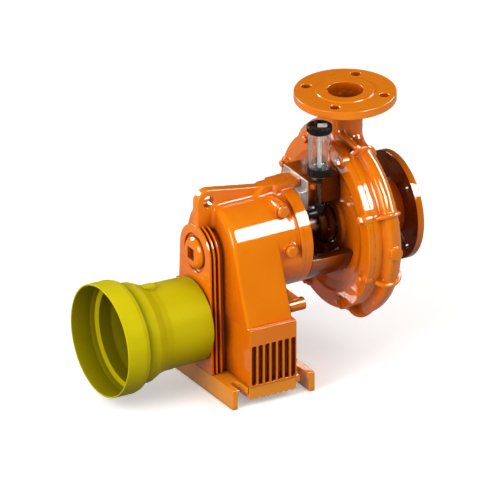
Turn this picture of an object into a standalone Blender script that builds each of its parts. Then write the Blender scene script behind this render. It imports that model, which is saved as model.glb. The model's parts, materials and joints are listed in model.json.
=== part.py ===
"""Centrifugal slurry pump driven through a speed-multiplying gearbox, metres, +Z up.

The shafts run along X: the drive guard is at -X and the suction flange at +X.
Places below are measured from the front plate (x = 0), the shaft plane (y = 0) and the floor (z = 0).
The empty pump_frame then puts the origin in the middle of the front foot's underside.
"""
import math

import bmesh
import bpy
from mathutils import Matrix, Vector

# Working values
GAP = 0.0003
EPS = 0.0005
REACH = 0.5
WELD = 0.00002
MERGE = 0.0001
SHARP_ANGLE = math.radians(32)

# Heights of the two shafts
SHAFT_Z = 0.257
DRIVE_Z = 0.128

# Feet: a standing leg, and a slotted plate that carries the gearbox
FOOT_Y = 0.137
FOOT_TOP = 0.038
FOOT_PLATE = 0.012
FOOT_LEG = 0.011
FRONT_FOOT_X = 0.0
FRONT_FOOT_END = 0.0333
REAR_FOOT_X = 0.170
REAR_FOOT_END = 0.1305
SLOT_WIDTH = 0.015
SLOT_BOTTOM_Y = 0.109
FRONT_SLOT_X = 0.0215
REAR_SLOT_X = 0.147

# Oil sump under the gearbox, with a toothed underside
SUMP_X = (0.0336, 0.1302)
SUMP_Y = 0.139
SUMP_BOTTOM = 0.013
SUMP_TOOTH = 0.003
SUMP_TEETH = 8
TOOTH_PLACES = (0.2, 0.6, 0.8)

# Gearbox housing
HOUSING_X = (0.034, 0.126)
HOUSING_BOTTOM = FOOT_TOP + GAP
DOME_R = 0.088
SIDE_SLOPE = 20.3
LEDGE_Z = 0.152
LEDGE_Y = 0.133
FAR_SLOPE = 14.5
FAR_LEDGE_Y = 0.118
RIB_BOX_X = (0.036, 0.130)
RIB_BOX_Y = 0.141
FAR_RIB_BOX_Y = 0.126
RIB_BOX_TOP = 0.151
GROOVES = 7
GROOVE_PITCH = 0.0135
GROOVE_WIDTH = 0.0092
GROOVE_DEPTH = 0.010
GROOVE_FIRST_X = 0.0425
GROOVE_Z = (0.0415, 0.118)
SNOUT_R = 0.087
SNOUT_END = 0.1675
LOW_SNOUT_R = 0.0945
LOW_SNOUT_Z = 0.247
OIL_RIB_X = 0.1485
OIL_RIB_R = 0.0925
OIL_RIB_Z = (0.2748, 0.3192)

# Front plate, fins and the plug over the pump shaft's bearing
PLATE_X = (0.0, 0.005)
PLATE_R = 0.053
PLATE_FOOT_HALF = 0.062
FIN_X = ((0.010, 0.0128), (0.0200, 0.0228))
FIN_DEPTH = 0.012
RECESS_R = 0.037
PLUG_R = 0.031
PLUG_FACE_R = 0.023
PLUG_EDGE_R = 0.028
PLUG_X = (-0.004, -0.0025, 0.001)
PLUG_SQUARE = 0.0075
PLUG_SQUARE_DEPTH = 0.0035

# Lifting web
WEB_HALF = 0.009
WEB_TOP = 0.383
WEB_REAR_TOP = 0.361
WEB_KNEE_X = 0.129
WEB_CORNER_R = 0.024
EYE_X = 0.0245
EYE_Z = 0.355
EYE_R = 0.011

# Rings between gearbox and bracket
RING_R = 0.095
RING_BORE_R = 0.030
GEARBOX_RING_X = (SNOUT_END + GAP, 0.1755)
BRACKET_RING_X = (0.1755 + GAP, 0.192)

# Bracket arms, heights measured from the pump shaft
ARM_START = BRACKET_RING_X[1] + GAP
ARM_END = 0.2767
TOP_ARM_Y = 0.0445
TOP_ARM_LOW = 0.059
TOP_ARM_HIGH = 0.109
ARM_STEP_X = 0.209
ARM_STEP_HIGH = 0.092
ARM_NOSE_X = 0.2725
ARM_NOSE_HIGH = 0.088
LOWER_ARM_R = 0.094
LOWER_ARM_BORE_R = 0.074
LOWER_ARM_HIGH = -0.026

# Casing cover, a dished disc
COVER_X = (0.269, 0.281)
COVER_R = 0.161
COVER_BORE_R = 0.030
COVER_CHAMFER = 0.002
DISH_R = 0.128
DISH_FLOOR_R = 0.106
DISH_DEPTH = 0.008

# Casing: a round chamber inside a scroll that widens towards the discharge
CASING_X = (COVER_X[1] + GAP, 0.296)
COVER_ROOM_R = 0.188
CHAMBER_R = 0.120
CHAMBER_END = 0.331
FRONT_WALL_X = 0.340
WALL = 0.007
SUCTION_COVER_R = 0.098
SUCTION_COVER_X = 0.3375
SCROLL_X = 0.3115
SCROLL_R = 0.148
SCROLL_SHIFT = (0.005, -0.004)
SCROLL_FIRST = 5
SCROLL_LAST = 320
SCROLL_STEP = 15
TUBE_START_R = 0.027
TUBE_GROWTH = 0.0000242
THROAT_STEPS = 6
THROAT_PULL = 0.055
THROAT_AIM_Z = 0.420
THROAT_END_Z = 0.452
THROAT_INSET = 0.0015
RIB_FIRST = 22.5
RIB_PITCH = 45
RIBS = 8
RIB_HEIGHT = 0.0055
RIB_HALF = 0.0045
BOSS_X = 0.3175
BOSS_Z = 0.250
BOSS_R = 0.0125
BOSS_FACE_Y = -0.1765
BOSS_ROOT_Y = -0.160

# Discharge neck and flange, over the shaft
DISCHARGE_TOP = 0.507
DISCHARGE_T = 0.018
DISCHARGE_R = 0.0925
DISCHARGE_BOLT_R = 0.0725
DISCHARGE_BORE_R = 0.0325
DISCHARGE_FACE_R = 0.0525
THROAT_BORE_R = 0.022
THROAT_BORE_Z = 0.440
NECK_TOP_R = 0.041
NECK_WAIST_R = 0.029
NECK_FOOT_R = 0.037
NECK_WAIST_Z = 0.440
NECK_FOOT_Z = 0.392
NECK_FLARE = 0.032
NECK_RIB_R = 0.0045
NECK_RIB_ENDS = ((0.292, -0.0205, 0.433), (0.300, -0.062, 0.4185))

# Suction neck and flange, on the shaft's line
SUCTION_FACE_X = 0.420
SUCTION_T = 0.016
SUCTION_R = 0.100
SUCTION_BOLT_R = 0.080
SUCTION_BORE_R = 0.040
SUCTION_FACE_R = 0.069
SUCTION_NECK_R = 0.052
NECK_ROOT = ((0.022, 0.0), (0.010, 0.008), (0.0, 0.030))
RAISED = 0.002
FLANGE_HOLES = 4
BOLT_HOLE_R = 0.009

# Turning pieces seen through the bracket's windows and the suction bore
PUMP_SHAFT_R = 0.020
PUMP_SHAFT_X = (SNOUT_END + GAP, 0.299)
GLAND_R = 0.040
GLAND_NECK_R = 0.030
GLAND_X = (0.245, 0.257, 0.259, 0.2687)
SLEEVE_R = 0.0297
FLINGER_R = 0.046
FLINGER_HUB_R = 0.027
FLINGER_X = (0.204, 0.207, 0.212)
IMPELLER_X = (0.2993, 0.304, 0.308, 0.318)
IMPELLER_R = 0.112
HUB_R = 0.018
HUB_FOOT_R = 0.022
VANES = 4
VANE_X = (0.303, 0.327)
VANE_R = (0.026, 0.108)
VANE_FIRST = 5
VANE_SWEEP = 70
VANE_LEAN = 60
VANE_T = 0.006
VANE_STEPS = 8
NUT_R = 0.013
NUT_X = (IMPELLER_X[3] + GAP, 0.334)

# Drive side: collar, splined shaft and the guard over it
COLLAR_R = 0.080
COLLAR_X = (-0.010, 0.004)
DRIVE_R = 0.0175
DRIVE_END = -0.080
DRIVE_GROOVE_X = -0.058
DRIVE_GROOVE = 0.003
SPLINES = 6
SPLINE_HALF = 0.0043
SPLINE_DEPTH = 0.0025
SPLINE_END = -0.030
GUARD_T = 0.003
GUARD_PROFILE = (
    (0.0775, COLLAR_X[0] - GAP), (0.0800, -0.092), (0.0835, -0.102), (0.0925, -0.121),
    (0.0940, -0.146), (0.1025, -0.150), (0.1050, -0.158), (0.1050, -0.196),
)
LATCH_X = (-0.109, -0.085)
LATCH_HALF = 0.009
LATCH_TOP = 0.087
LATCH_FOOT = 0.070

# Plugs and drain stub on the gearbox
OIL_PLUG_X = 0.1465
OIL_PLUG_R = 0.0105
FILLER_PLUG_Z = 0.330
FILLER_PLUG_Y = (-0.068, -0.034)
LEVEL_PLUG_Z = 0.264
LEVEL_PLUG_Y = (-0.102, -0.0872)
STUB_X = (HOUSING_X[1] + GAP, 0.160)
STUB_Y = -0.112
STUB_Z = 0.166
STUB_R = 0.012
GUSSET_X = 0.154
GUSSET_HALF = 0.003
GUSSET_HEIGHTS = (0.010, 0.036)

# Oiler over the bracket
OILER_X = 0.225
OILER_Y = -0.058
ELBOW_Z = 0.306
ELBOW_TOP = 0.322
ELBOW_R = 0.0075
ELBOW_LEG_R = 0.0095
ELBOW_LEG_END = 0.229
PIPE_R = 0.0045
NIPPLE_Z = (0.366, 0.3857)
NIPPLE_R = 0.0065
OILER_BASE_Z = (0.386, 0.395)
OILER_GLASS_TOP = 0.469
OILER_CAP_TOP = 0.481
OILER_R = 0.023
GLASS_R = 0.020
GLASS_T = 0.0025
ROD_R = 0.004

COLOURS = {
    "orange_paint": ((0.76, 0.19, 0.010), 0.22, 0.0),
    "guard_yellow": ((0.58, 0.49, 0.0), 0.45, 0.0),
    "black_plastic": ((0.012, 0.012, 0.012), 0.35, 0.0),
    "clear_plastic": ((0.85, 0.87, 0.87), 0.08, 0.0),
    "steel": ((0.45, 0.45, 0.46), 0.35, 1.0),
}

AXES = "XYZ"
AXIS_TURN = {
    "X": Matrix.Rotation(math.radians(90), 4, "Y"),
    "Y": Matrix.Rotation(math.radians(-90), 4, "X"),
    "Z": Matrix.Identity(4),
}
ON_SHAFT = (0.0, 0.0, SHAFT_Z)
ON_DRIVE = (0.0, 0.0, DRIVE_Z)
ON_DISCHARGE = (SCROLL_X, 0.0, 0.0)


def clear_scene():
    for old in list(bpy.data.objects):
        bpy.data.objects.remove(old, do_unlink=True)


def new_collection(name):
    collection = bpy.data.collections.new(name)
    bpy.context.scene.collection.children.link(collection)
    return collection


def make_materials():
    made = {}
    for name, (colour, roughness, metallic) in COLOURS.items():
        material = bpy.data.materials.new(name)
        material.use_nodes = True
        shader = material.node_tree.nodes["Principled BSDF"]
        shader.inputs["Base Color"].default_value = (*colour, 1.0)
        shader.inputs["Roughness"].default_value = roughness
        shader.inputs["Metallic"].default_value = metallic
        made[name] = material
    return made


def working_solid(name, mesh):
    """A loose solid in the cutters collection, before it becomes a piece or is used up."""
    obj = bpy.data.objects.new(name, mesh)
    CUTTERS.objects.link(obj)
    obj.hide_render = True
    obj.display_type = "WIRE"
    return obj


def solid_from_bmesh(name, shape):
    mesh = bpy.data.meshes.new(name)
    shape.to_mesh(mesh)
    shape.free()
    return working_solid(name, mesh)


def evaluated_mesh(obj):
    """The mesh that the object's modifiers or curve make, in world space."""
    bpy.context.view_layer.update()
    graph = bpy.context.evaluated_depsgraph_get()
    mesh = bpy.data.meshes.new_from_object(obj.evaluated_get(graph))
    mesh.transform(obj.matrix_world)
    return mesh


def bake(obj):
    mesh = evaluated_mesh(obj)
    obj.modifiers.clear()
    obj.data = mesh
    obj.matrix_world = Matrix.Identity(4)
    return obj


def weld(obj):
    shape = bmesh.new()
    shape.from_mesh(obj.data)
    bmesh.ops.remove_doubles(shape, verts=shape.verts, dist=WELD)
    bmesh.ops.recalc_face_normals(shape, faces=shape.faces)
    shape.to_mesh(obj.data)
    shape.free()
    return obj


def boolean(target, tool, operation):
    """Add or take away a tool, which may pass through itself as the scroll's tube does."""
    step = target.modifiers.new(operation.lower(), "BOOLEAN")
    step.operation = operation
    step.solver = "EXACT"
    step.use_self = True
    step.object = tool
    bake(target)
    bpy.data.objects.remove(tool, do_unlink=True)
    return weld(target)


def cut(target, *tools):
    for tool in tools:
        boolean(target, tool, "DIFFERENCE")
    return target


def join(target, *tools):
    for tool in tools:
        boolean(target, tool, "UNION")
    return target


def box(name, xs, ys, zs):
    shape = bmesh.new()
    bmesh.ops.create_cube(shape, size=1.0)
    size = Vector((xs[1] - xs[0], ys[1] - ys[0], zs[1] - zs[0]))
    centre = Vector((sum(xs) / 2, sum(ys) / 2, sum(zs) / 2))
    bmesh.ops.scale(shape, vec=size, verts=shape.verts)
    bmesh.ops.translate(shape, vec=centre, verts=shape.verts)
    return solid_from_bmesh(name, shape)


def place_on(axis, centre, along):
    """The centre moved to a place on its axis."""
    place = Vector(centre)
    place[AXES.index(axis)] = along
    return Matrix.Translation(place) @ AXIS_TURN[axis]


def cylinder(name, axis, radius, span, centre, segments=48):
    shape = bmesh.new()
    length = span[1] - span[0]
    bmesh.ops.create_cone(shape, cap_ends=True, segments=segments, radius1=radius, radius2=radius, depth=length)
    bmesh.ops.transform(shape, matrix=place_on(axis, centre, sum(span) / 2), verts=shape.verts)
    return solid_from_bmesh(name, shape)


def turned(name, axis, centre, profile, segments=48, ring=False):
    """A profile of (radius, place along the axis), from the far end to the near end; a ring's is closed."""
    mesh = bpy.data.meshes.new(name)
    points = [(radius, 0.0, along) for radius, along in profile]
    edges = [(index, index + 1) for index in range(len(points) - 1)]
    if ring:
        edges.append((len(points) - 1, 0))
    mesh.from_pydata(points, edges, [])
    obj = working_solid(name, mesh)
    screw = obj.modifiers.new("turn", "SCREW")
    screw.steps = segments
    screw.render_steps = segments
    screw.use_merge_vertices = True
    screw.merge_threshold = MERGE
    obj.matrix_world = place_on(axis, centre, 0.0)
    return weld(bake(obj))


def solid_from_curve(obj):
    mesh = evaluated_mesh(obj)
    name = obj.name
    bpy.data.objects.remove(obj, do_unlink=True)
    return weld(working_solid(name, mesh))


def extruded(name, axis, span, outline):
    """A flat outline pushed along an axis; its points are (y, z), (x, z) or (x, y)."""
    curve = bpy.data.curves.new(name, "CURVE")
    curve.dimensions = "2D"
    curve.fill_mode = "BOTH"
    curve.extrude = (span[1] - span[0]) / 2
    line = curve.splines.new("POLY")
    line.points.add(len(outline) - 1)
    line.use_cyclic_u = True
    for point, (first, second) in zip(line.points, outline):
        point.co = (first, second, 0.0, 1.0)
    obj = bpy.data.objects.new(name, curve)
    bpy.context.scene.collection.objects.link(obj)
    middle = sum(span) / 2
    turns = {
        "X": Matrix(((0, 0, 1, middle), (1, 0, 0, 0), (0, 1, 0, 0), (0, 0, 0, 1))),
        "Y": Matrix(((1, 0, 0, 0), (0, 0, -1, middle), (0, 1, 0, 0), (0, 0, 0, 1))),
        "Z": Matrix.Translation((0, 0, middle)),
    }
    obj.matrix_world = turns[axis]
    return solid_from_curve(obj)


def tube(name, points, radii, resolution):
    """A round bar along a list of points, with a radius for each point."""
    curve = bpy.data.curves.new(name, "CURVE")
    curve.dimensions = "3D"
    curve.bevel_depth = 1.0
    curve.bevel_resolution = resolution
    curve.use_fill_caps = True
    line = curve.splines.new("POLY")
    line.points.add(len(points) - 1)
    for point, place, radius in zip(line.points, points, radii):
        point.co = (*place, 1.0)
        point.radius = radius
    obj = bpy.data.objects.new(name, curve)
    bpy.context.scene.collection.objects.link(obj)
    return solid_from_curve(obj)


def arc(centre, radius, start, end, steps):
    """Points of an arc from start to end degrees, both ends included."""
    points = []
    for step in range(steps + 1):
        angle = math.radians(start + (end - start) * step / steps)
        points.append((centre[0] + radius * math.cos(angle), centre[1] + radius * math.sin(angle)))
    return points


def part(obj, material):
    """Make a finished solid a piece of the pump."""
    obj.data.materials.clear()
    obj.data.materials.append(MATERIALS[material])
    obj.data.shade_smooth()
    obj.data.set_sharp_from_angle(angle=SHARP_ANGLE)
    CUTTERS.objects.unlink(obj)
    PARTS.objects.link(obj)
    obj.hide_render = False
    obj.display_type = "TEXTURED"
    obj.parent = FRAME
    return obj


def plate_outline(radius, half_foot, bottom, grow=0.0):
    """Tombstone outline of the front plate and fins, round about the pump shaft."""
    crown = arc((0.0, SHAFT_Z), radius + grow, 0, 180, 16)
    return [(-half_foot - grow, bottom), (half_foot + grow, bottom)] + crown


def housing_outline():
    crown = arc((0.0, SHAFT_Z), DOME_R, FAR_SLOPE, 180 - SIDE_SLOPE, 20)
    left = [(-LEDGE_Y, LEDGE_Z), (-LEDGE_Y, HOUSING_BOTTOM)]
    right = [(FAR_LEDGE_Y, HOUSING_BOTTOM), (FAR_LEDGE_Y, LEDGE_Z)]
    return left + right + crown


def cut_grooves(ribbed):
    """Cooling grooves down both sides of the housing's foot."""
    half = GROOVE_WIDTH / 2
    for index in range(GROOVES):
        x = GROOVE_FIRST_X + index * GROOVE_PITCH
        for face in (-RIB_BOX_Y, FAR_RIB_BOX_Y):
            floor = face - math.copysign(GROOVE_DEPTH, face)
            depth = sorted((floor, math.copysign(REACH, face)))
            cut(ribbed, box("groove", (x - half, x + half), depth, GROOVE_Z))


def make_snout():
    """Round body behind the dome, thicker below, with a rib between the two oil plugs."""
    start = HOUSING_X[1] - EPS
    snout = cylinder("snout", "X", SNOUT_R, (start, SNOUT_END), ON_SHAFT)
    low = cylinder("low_snout", "X", LOW_SNOUT_R, (start + EPS, SNOUT_END - EPS), ON_SHAFT)
    cut(low, box("above", (0.0, REACH), (-REACH, REACH), (LOW_SNOUT_Z, REACH)))
    rib = cylinder("oil_rib", "X", OIL_RIB_R, (OIL_RIB_X, SNOUT_END - EPS), ON_SHAFT)
    cut(rib, box("under", (0.0, REACH), (-REACH, REACH), (-REACH, OIL_RIB_Z[0])))
    cut(rib, box("over", (0.0, REACH), (-REACH, REACH), (OIL_RIB_Z[1], REACH)))
    cut(rib, box("far_side", (0.0, REACH), (0.0, REACH), (0.0, REACH)))
    return join(snout, low, rib)


def make_housing():
    body = extruded("gearbox_housing", "X", HOUSING_X, housing_outline())
    ribbed = box("ribbed", RIB_BOX_X, (-RIB_BOX_Y, FAR_RIB_BOX_Y), (HOUSING_BOTTOM, RIB_BOX_TOP))
    cut_grooves(ribbed)
    join(body, ribbed, make_snout())
    core = plate_outline(PLATE_R - FIN_DEPTH, PLATE_FOOT_HALF - FIN_DEPTH, HOUSING_BOTTOM + EPS)
    join(body, extruded("core", "X", (PLATE_X[1] + GAP, HOUSING_X[0] + EPS), core))
    fin = plate_outline(PLATE_R, PLATE_FOOT_HALF, HOUSING_BOTTOM + EPS / 2)
    for span in FIN_X:
        join(body, extruded("fin", "X", span, fin))
    part(body, "orange_paint")


def make_front_plate():
    outline = plate_outline(PLATE_R, PLATE_FOOT_HALF, HOUSING_BOTTOM)
    plate = extruded("front_plate", "X", PLATE_X, outline)
    cut(plate, cylinder("recess", "X", RECESS_R, (-REACH, REACH), ON_SHAFT))
    part(plate, "orange_paint")


def make_shaft_plug():
    """Round plug in the front plate, with a square socket in its face."""
    face, edge, side = PLUG_X
    back = PLATE_X[1]
    profile = [(0.0, back), (PLUG_R, back), (PLUG_R, side), (PLUG_EDGE_R, edge), (PLUG_FACE_R, face), (0.0, face)]
    plug = turned("shaft_plug", "X", ON_SHAFT, profile, 32)
    half = PLUG_SQUARE
    socket = box("socket", (-REACH, face + PLUG_SQUARE_DEPTH), (-half, half), (SHAFT_Z - half, SHAFT_Z + half))
    part(cut(plug, socket), "orange_paint")


def web_outline():
    """Side view of the lifting web, from the front plate over the dome and rings to the bracket."""
    front = PLATE_X[0]
    dome_front = HOUSING_X[0] - GAP
    ring_rear = BRACKET_RING_X[1] + GAP
    rear = ARM_STEP_X - GAP
    over_plate = SHAFT_Z + PLATE_R + GAP
    over_dome = SHAFT_Z + DOME_R + GAP
    over_ring = SHAFT_Z + RING_R + GAP
    over_arm = SHAFT_Z + ARM_STEP_HIGH + GAP
    corner = arc((front + WEB_CORNER_R, WEB_TOP - WEB_CORNER_R), WEB_CORNER_R, 180, 90, 7)
    top = [(WEB_KNEE_X, WEB_REAR_TOP), (rear, WEB_REAR_TOP)]
    under = [
        (rear, over_arm), (ring_rear, over_arm), (ring_rear, over_ring), (SNOUT_END, over_ring),
        (SNOUT_END, over_dome), (dome_front, over_dome), (dome_front, over_plate),
    ]
    return [(front, over_plate)] + corner + top + under


def make_web():
    web = extruded("lifting_web", "Y", (-WEB_HALF, WEB_HALF), web_outline())
    cut(web, cylinder("eye", "Y", EYE_R, (-REACH, REACH), (EYE_X, 0, EYE_Z), 24))
    part(web, "orange_paint")


def slot_tool(x, side):
    """A round-ended slot, open at the foot's side edge."""
    start, end = (0, 180) if side < 0 else (180, 360)
    outline = arc((x, side * SLOT_BOTTOM_Y), SLOT_WIDTH / 2, start, end, 8)
    outline += [(outline[-1][0], side * REACH), (outline[0][0], side * REACH)]
    return extruded("slot", "Z", (-REACH, REACH), outline)


def make_foot(name, outer_x, inner_x, plate_x, slot_x):
    low = FOOT_TOP - FOOT_PLATE
    outline = [(outer_x, 0.0), (inner_x, 0.0), (inner_x, low), (plate_x, low), (plate_x, FOOT_TOP), (outer_x, FOOT_TOP)]
    foot = extruded(name, "Y", (-FOOT_Y, FOOT_Y), outline)
    part(cut(foot, slot_tool(slot_x, -1), slot_tool(slot_x, 1)), "orange_paint")


def make_sump():
    start, end = SUMP_X
    pitch = (end - start) / SUMP_TEETH
    tooth_root = SUMP_BOTTOM + SUMP_TOOTH
    rise, crest, fall = TOOTH_PLACES
    outline = [(start, FOOT_TOP), (start, tooth_root)]
    for index in range(SUMP_TEETH):
        tooth = start + index * pitch
        outline += [(tooth + pitch * rise, SUMP_BOTTOM), (tooth + pitch * crest, SUMP_BOTTOM)]
        outline += [(tooth + pitch * fall, tooth_root)]
    outline += [(end, tooth_root), (end, FOOT_TOP)]
    part(extruded("oil_sump", "Y", (-SUMP_Y, SUMP_Y), outline), "orange_paint")


def make_ring(name, span):
    inner = RING_BORE_R
    profile = [(inner, span[1]), (RING_R, span[1]), (RING_R, span[0]), (inner, span[0])]
    part(turned(name, "X", ON_SHAFT, profile, ring=True), "orange_paint")


def make_top_arm():
    """Stepped block from the bracket's ring to the cover; the lifting web ends against its step."""
    low = SHAFT_Z + TOP_ARM_LOW
    high = SHAFT_Z + TOP_ARM_HIGH
    step = SHAFT_Z + ARM_STEP_HIGH
    nose = SHAFT_Z + ARM_NOSE_HIGH
    outline = [
        (ARM_START, low), (ARM_END, low), (ARM_END, nose), (ARM_NOSE_X, nose),
        (ARM_NOSE_X, high), (ARM_STEP_X, high), (ARM_STEP_X, step), (ARM_START, step),
    ]
    part(extruded("bracket_top_arm", "Y", (-TOP_ARM_Y, TOP_ARM_Y), outline), "orange_paint")


def make_lower_arm():
    """Half-round trough from the bracket's ring to the cover."""
    arm = cylinder("bracket_lower_arm", "X", LOWER_ARM_R, (ARM_START, ARM_END), ON_SHAFT)
    cut(arm, cylinder("trough", "X", LOWER_ARM_BORE_R, (0.0, REACH), ON_SHAFT))
    cut(arm, box("above", (0.0, REACH), (-REACH, REACH), (SHAFT_Z + LOWER_ARM_HIGH, REACH)))
    part(arm, "orange_paint")


def make_cover():
    front, back = COVER_X
    floor = front + DISH_DEPTH
    profile = [
        (COVER_BORE_R, back), (COVER_R, back), (COVER_R, front + COVER_CHAMFER), (COVER_R - COVER_CHAMFER, front),
        (DISH_R, front), (DISH_FLOOR_R, floor), (COVER_BORE_R, floor),
    ]
    part(turned("casing_cover", "X", ON_SHAFT, profile, 64, ring=True), "orange_paint")


def scroll_point(angle):
    """Centre of the scroll's tube, angle in degrees from the top towards -Y."""
    turn = math.radians(angle)
    y = SCROLL_SHIFT[0] - SCROLL_R * math.sin(turn)
    z = SHAFT_Z + SCROLL_SHIFT[1] + SCROLL_R * math.cos(turn)
    return Vector((SCROLL_X, y, z))


def tube_radius(angle):
    return TUBE_START_R + TUBE_GROWTH * angle


def bezier(points, t):
    rest = 1 - t
    weights = (rest ** 3, 3 * rest * rest * t, 3 * rest * t * t, t ** 3)
    return sum((point * weight for point, weight in zip(points, weights)), Vector())


def scroll_path(shrink):
    """Centre line and radii of the scroll and its throat, up into the discharge neck."""
    points, radii = [], []
    for angle in range(SCROLL_FIRST, SCROLL_LAST + 1, SCROLL_STEP):
        points.append(scroll_point(angle))
        radii.append(tube_radius(angle) - shrink)
    turn = math.radians(SCROLL_LAST)
    heading = Vector((0.0, -math.cos(turn), -math.sin(turn)))
    aim = Vector((SCROLL_X, 0.0, THROAT_AIM_Z))
    end = Vector((SCROLL_X, 0.0, THROAT_END_Z))
    throat = (points[-1], points[-1] + heading * THROAT_PULL, aim, end)
    wide = tube_radius(SCROLL_LAST)
    narrow = NECK_WAIST_R - THROAT_INSET
    for step in range(1, THROAT_STEPS + 1):
        t = step / THROAT_STEPS
        points.append(bezier(throat, t))
        radii.append(wide + (narrow - wide) * t - shrink)
    return points, radii


def scroll_rib(angle):
    """A raised ring round the scroll's tube, in the plane through the shaft."""
    inner = tube_radius(angle) - RIB_HALF
    outer = tube_radius(angle) + RIB_HEIGHT
    half = RIB_HALF
    profile = [(inner, half), (outer - half, half), (outer, half / 2), (outer, -half / 2), (outer - half, -half)]
    profile.append((inner, -half))
    ring = turned("rib", "Z", (0, 0, 0), profile, 18, ring=True)
    turn = Matrix.Rotation(math.radians(angle - 90), 4, "X")
    ring.data.transform(Matrix.Translation(scroll_point(angle)) @ turn)
    return ring


def discharge_neck():
    top = DISCHARGE_TOP - DISCHARGE_T - GAP
    profile = [
        (0.0, top), (NECK_TOP_R, top), (NECK_TOP_R - WALL / 2, top - NECK_FLARE / 3),
        (NECK_WAIST_R, top - NECK_FLARE), (NECK_WAIST_R, NECK_WAIST_Z), (NECK_FOOT_R, NECK_FOOT_Z), (0.0, NECK_FOOT_Z),
    ]
    return turned("neck", "Z", ON_DISCHARGE, profile, 32)


def casing_body():
    """Round chamber, before the scroll is added."""
    shoulder = CHAMBER_R + WALL
    profile = [
        (0.0, SUCTION_COVER_X), (SUCTION_COVER_R, SUCTION_COVER_X), (shoulder, FRONT_WALL_X - WALL),
        (shoulder, CASING_X[1]), (COVER_R, CASING_X[1]), (COVER_R, CASING_X[0]), (0.0, CASING_X[0]),
    ]
    return turned("volute_casing", "X", ON_SHAFT, profile, 64)


def make_suction_cover():
    """Cover in the casing's front wall, with the neck that carries the suction flange."""
    neck_end = SUCTION_FACE_X - SUCTION_T - GAP
    bore = SUCTION_BORE_R
    neck = [(bore, neck_end), (SUCTION_NECK_R, neck_end)]
    root = [(SUCTION_NECK_R + wider, FRONT_WALL_X + along) for along, wider in NECK_ROOT]
    seat = [(SUCTION_COVER_R, SUCTION_COVER_X), (SUCTION_COVER_R, CHAMBER_END), (bore, CHAMBER_END)]
    part(turned("suction_cover", "X", ON_SHAFT, neck + root + seat, ring=True), "orange_paint")


def water_way():
    """Everything inside the casing: chamber, scroll, throat and the seat of the suction cover."""
    points, radii = scroll_path(WALL)
    inside = tube("passage", points, radii, 3)
    start = COVER_X[0]
    chamber = [(0.0, CHAMBER_END), (CHAMBER_R, CHAMBER_END), (CHAMBER_R, start), (0.0, start)]
    join(inside, turned("chamber", "X", ON_SHAFT, chamber))
    seat_span = (CHAMBER_END - EPS, SUCTION_FACE_X)
    join(inside, cylinder("cover_seat", "X", SUCTION_COVER_R + GAP, seat_span, ON_SHAFT))
    top = DISCHARGE_TOP - DISCHARGE_T
    throat = [
        (0.0, DISCHARGE_TOP), (DISCHARGE_BORE_R, DISCHARGE_TOP), (DISCHARGE_BORE_R, top),
        (THROAT_BORE_R, top - NECK_FLARE), (THROAT_BORE_R, THROAT_BORE_Z), (0.0, THROAT_BORE_Z),
    ]
    return join(inside, turned("throat", "Z", ON_DISCHARGE, throat, 32))


def make_volute():
    body = casing_body()
    points, radii = scroll_path(0.0)
    join(body, tube("scroll", points, radii, 5))
    for index in range(RIBS):
        join(body, scroll_rib(RIB_FIRST + RIB_PITCH * index))
    join(body, discharge_neck())
    join(body, tube("neck_rib", NECK_RIB_ENDS, (NECK_RIB_R, NECK_RIB_R), 1))
    join(body, cylinder("boss", "Y", BOSS_R, (BOSS_FACE_Y, BOSS_ROOT_Y), (BOSS_X, 0, BOSS_Z), 24))
    cut(body, water_way())
    cut(body, cylinder("cover_room", "X", COVER_ROOM_R, (0.0, CASING_X[0]), ON_SHAFT))
    part(body, "orange_paint")


def cut_flange_holes(target, axis, centre, circle_r):
    first, second = [index for index in range(3) if AXES[index] != axis]
    for index in range(FLANGE_HOLES):
        angle = math.radians(45 + 90 * index)
        place = Vector(centre)
        place[first] += circle_r * math.cos(angle)
        place[second] += circle_r * math.sin(angle)
        cut(target, cylinder("hole", axis, BOLT_HOLE_R, (0.0, 2 * REACH), place, 16))


def make_flange(name, axis, centre, face, thickness, radii):
    """A drilled pipe flange: radii are the rim's, the raised face's, the bolt circle's and the bore's."""
    outer, raised, circle, bore = radii
    near = face - thickness
    profile = [(bore, face), (raised, face), (raised, face - RAISED), (outer, face - RAISED), (outer, near), (bore, near)]
    flange = turned(name, axis, centre, profile, ring=True)
    cut_flange_holes(flange, axis, centre, circle)
    part(flange, "orange_paint")


def make_flanges():
    radii = (DISCHARGE_R, DISCHARGE_FACE_R, DISCHARGE_BOLT_R, DISCHARGE_BORE_R)
    make_flange("discharge_flange", "Z", ON_DISCHARGE, DISCHARGE_TOP, DISCHARGE_T, radii)
    radii = (SUCTION_R, SUCTION_FACE_R, SUCTION_BOLT_R, SUCTION_BORE_R)
    make_flange("suction_flange", "X", ON_SHAFT, SUCTION_FACE_X, SUCTION_T, radii)


def make_shaft_seal():
    """Pump shaft with its flinger, gland follower and stuffing sleeve."""
    part(cylinder("pump_shaft", "X", PUMP_SHAFT_R, PUMP_SHAFT_X, ON_SHAFT, 24), "steel")
    bore = PUMP_SHAFT_R + GAP
    start, neck_end, rim_start, end = GLAND_X
    gland = [(bore, end), (GLAND_R, end), (GLAND_R, rim_start), (GLAND_NECK_R, neck_end), (GLAND_NECK_R, start)]
    gland.append((bore, start))
    part(turned("gland_follower", "X", ON_SHAFT, gland, 32, ring=True), "orange_paint")
    sleeve = [(bore, COVER_X[1]), (SLEEVE_R, COVER_X[1]), (SLEEVE_R, COVER_X[0]), (bore, COVER_X[0])]
    part(turned("stuffing_sleeve", "X", ON_SHAFT, sleeve, 24, ring=True), "steel")
    start, rim_start, end = FLINGER_X
    flinger = [(bore, end), (FLINGER_R, end), (FLINGER_R, rim_start), (FLINGER_HUB_R, start), (bore, start)]
    part(turned("flinger_ring", "X", ON_SHAFT, flinger, 32, ring=True), "black_plastic")


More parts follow.
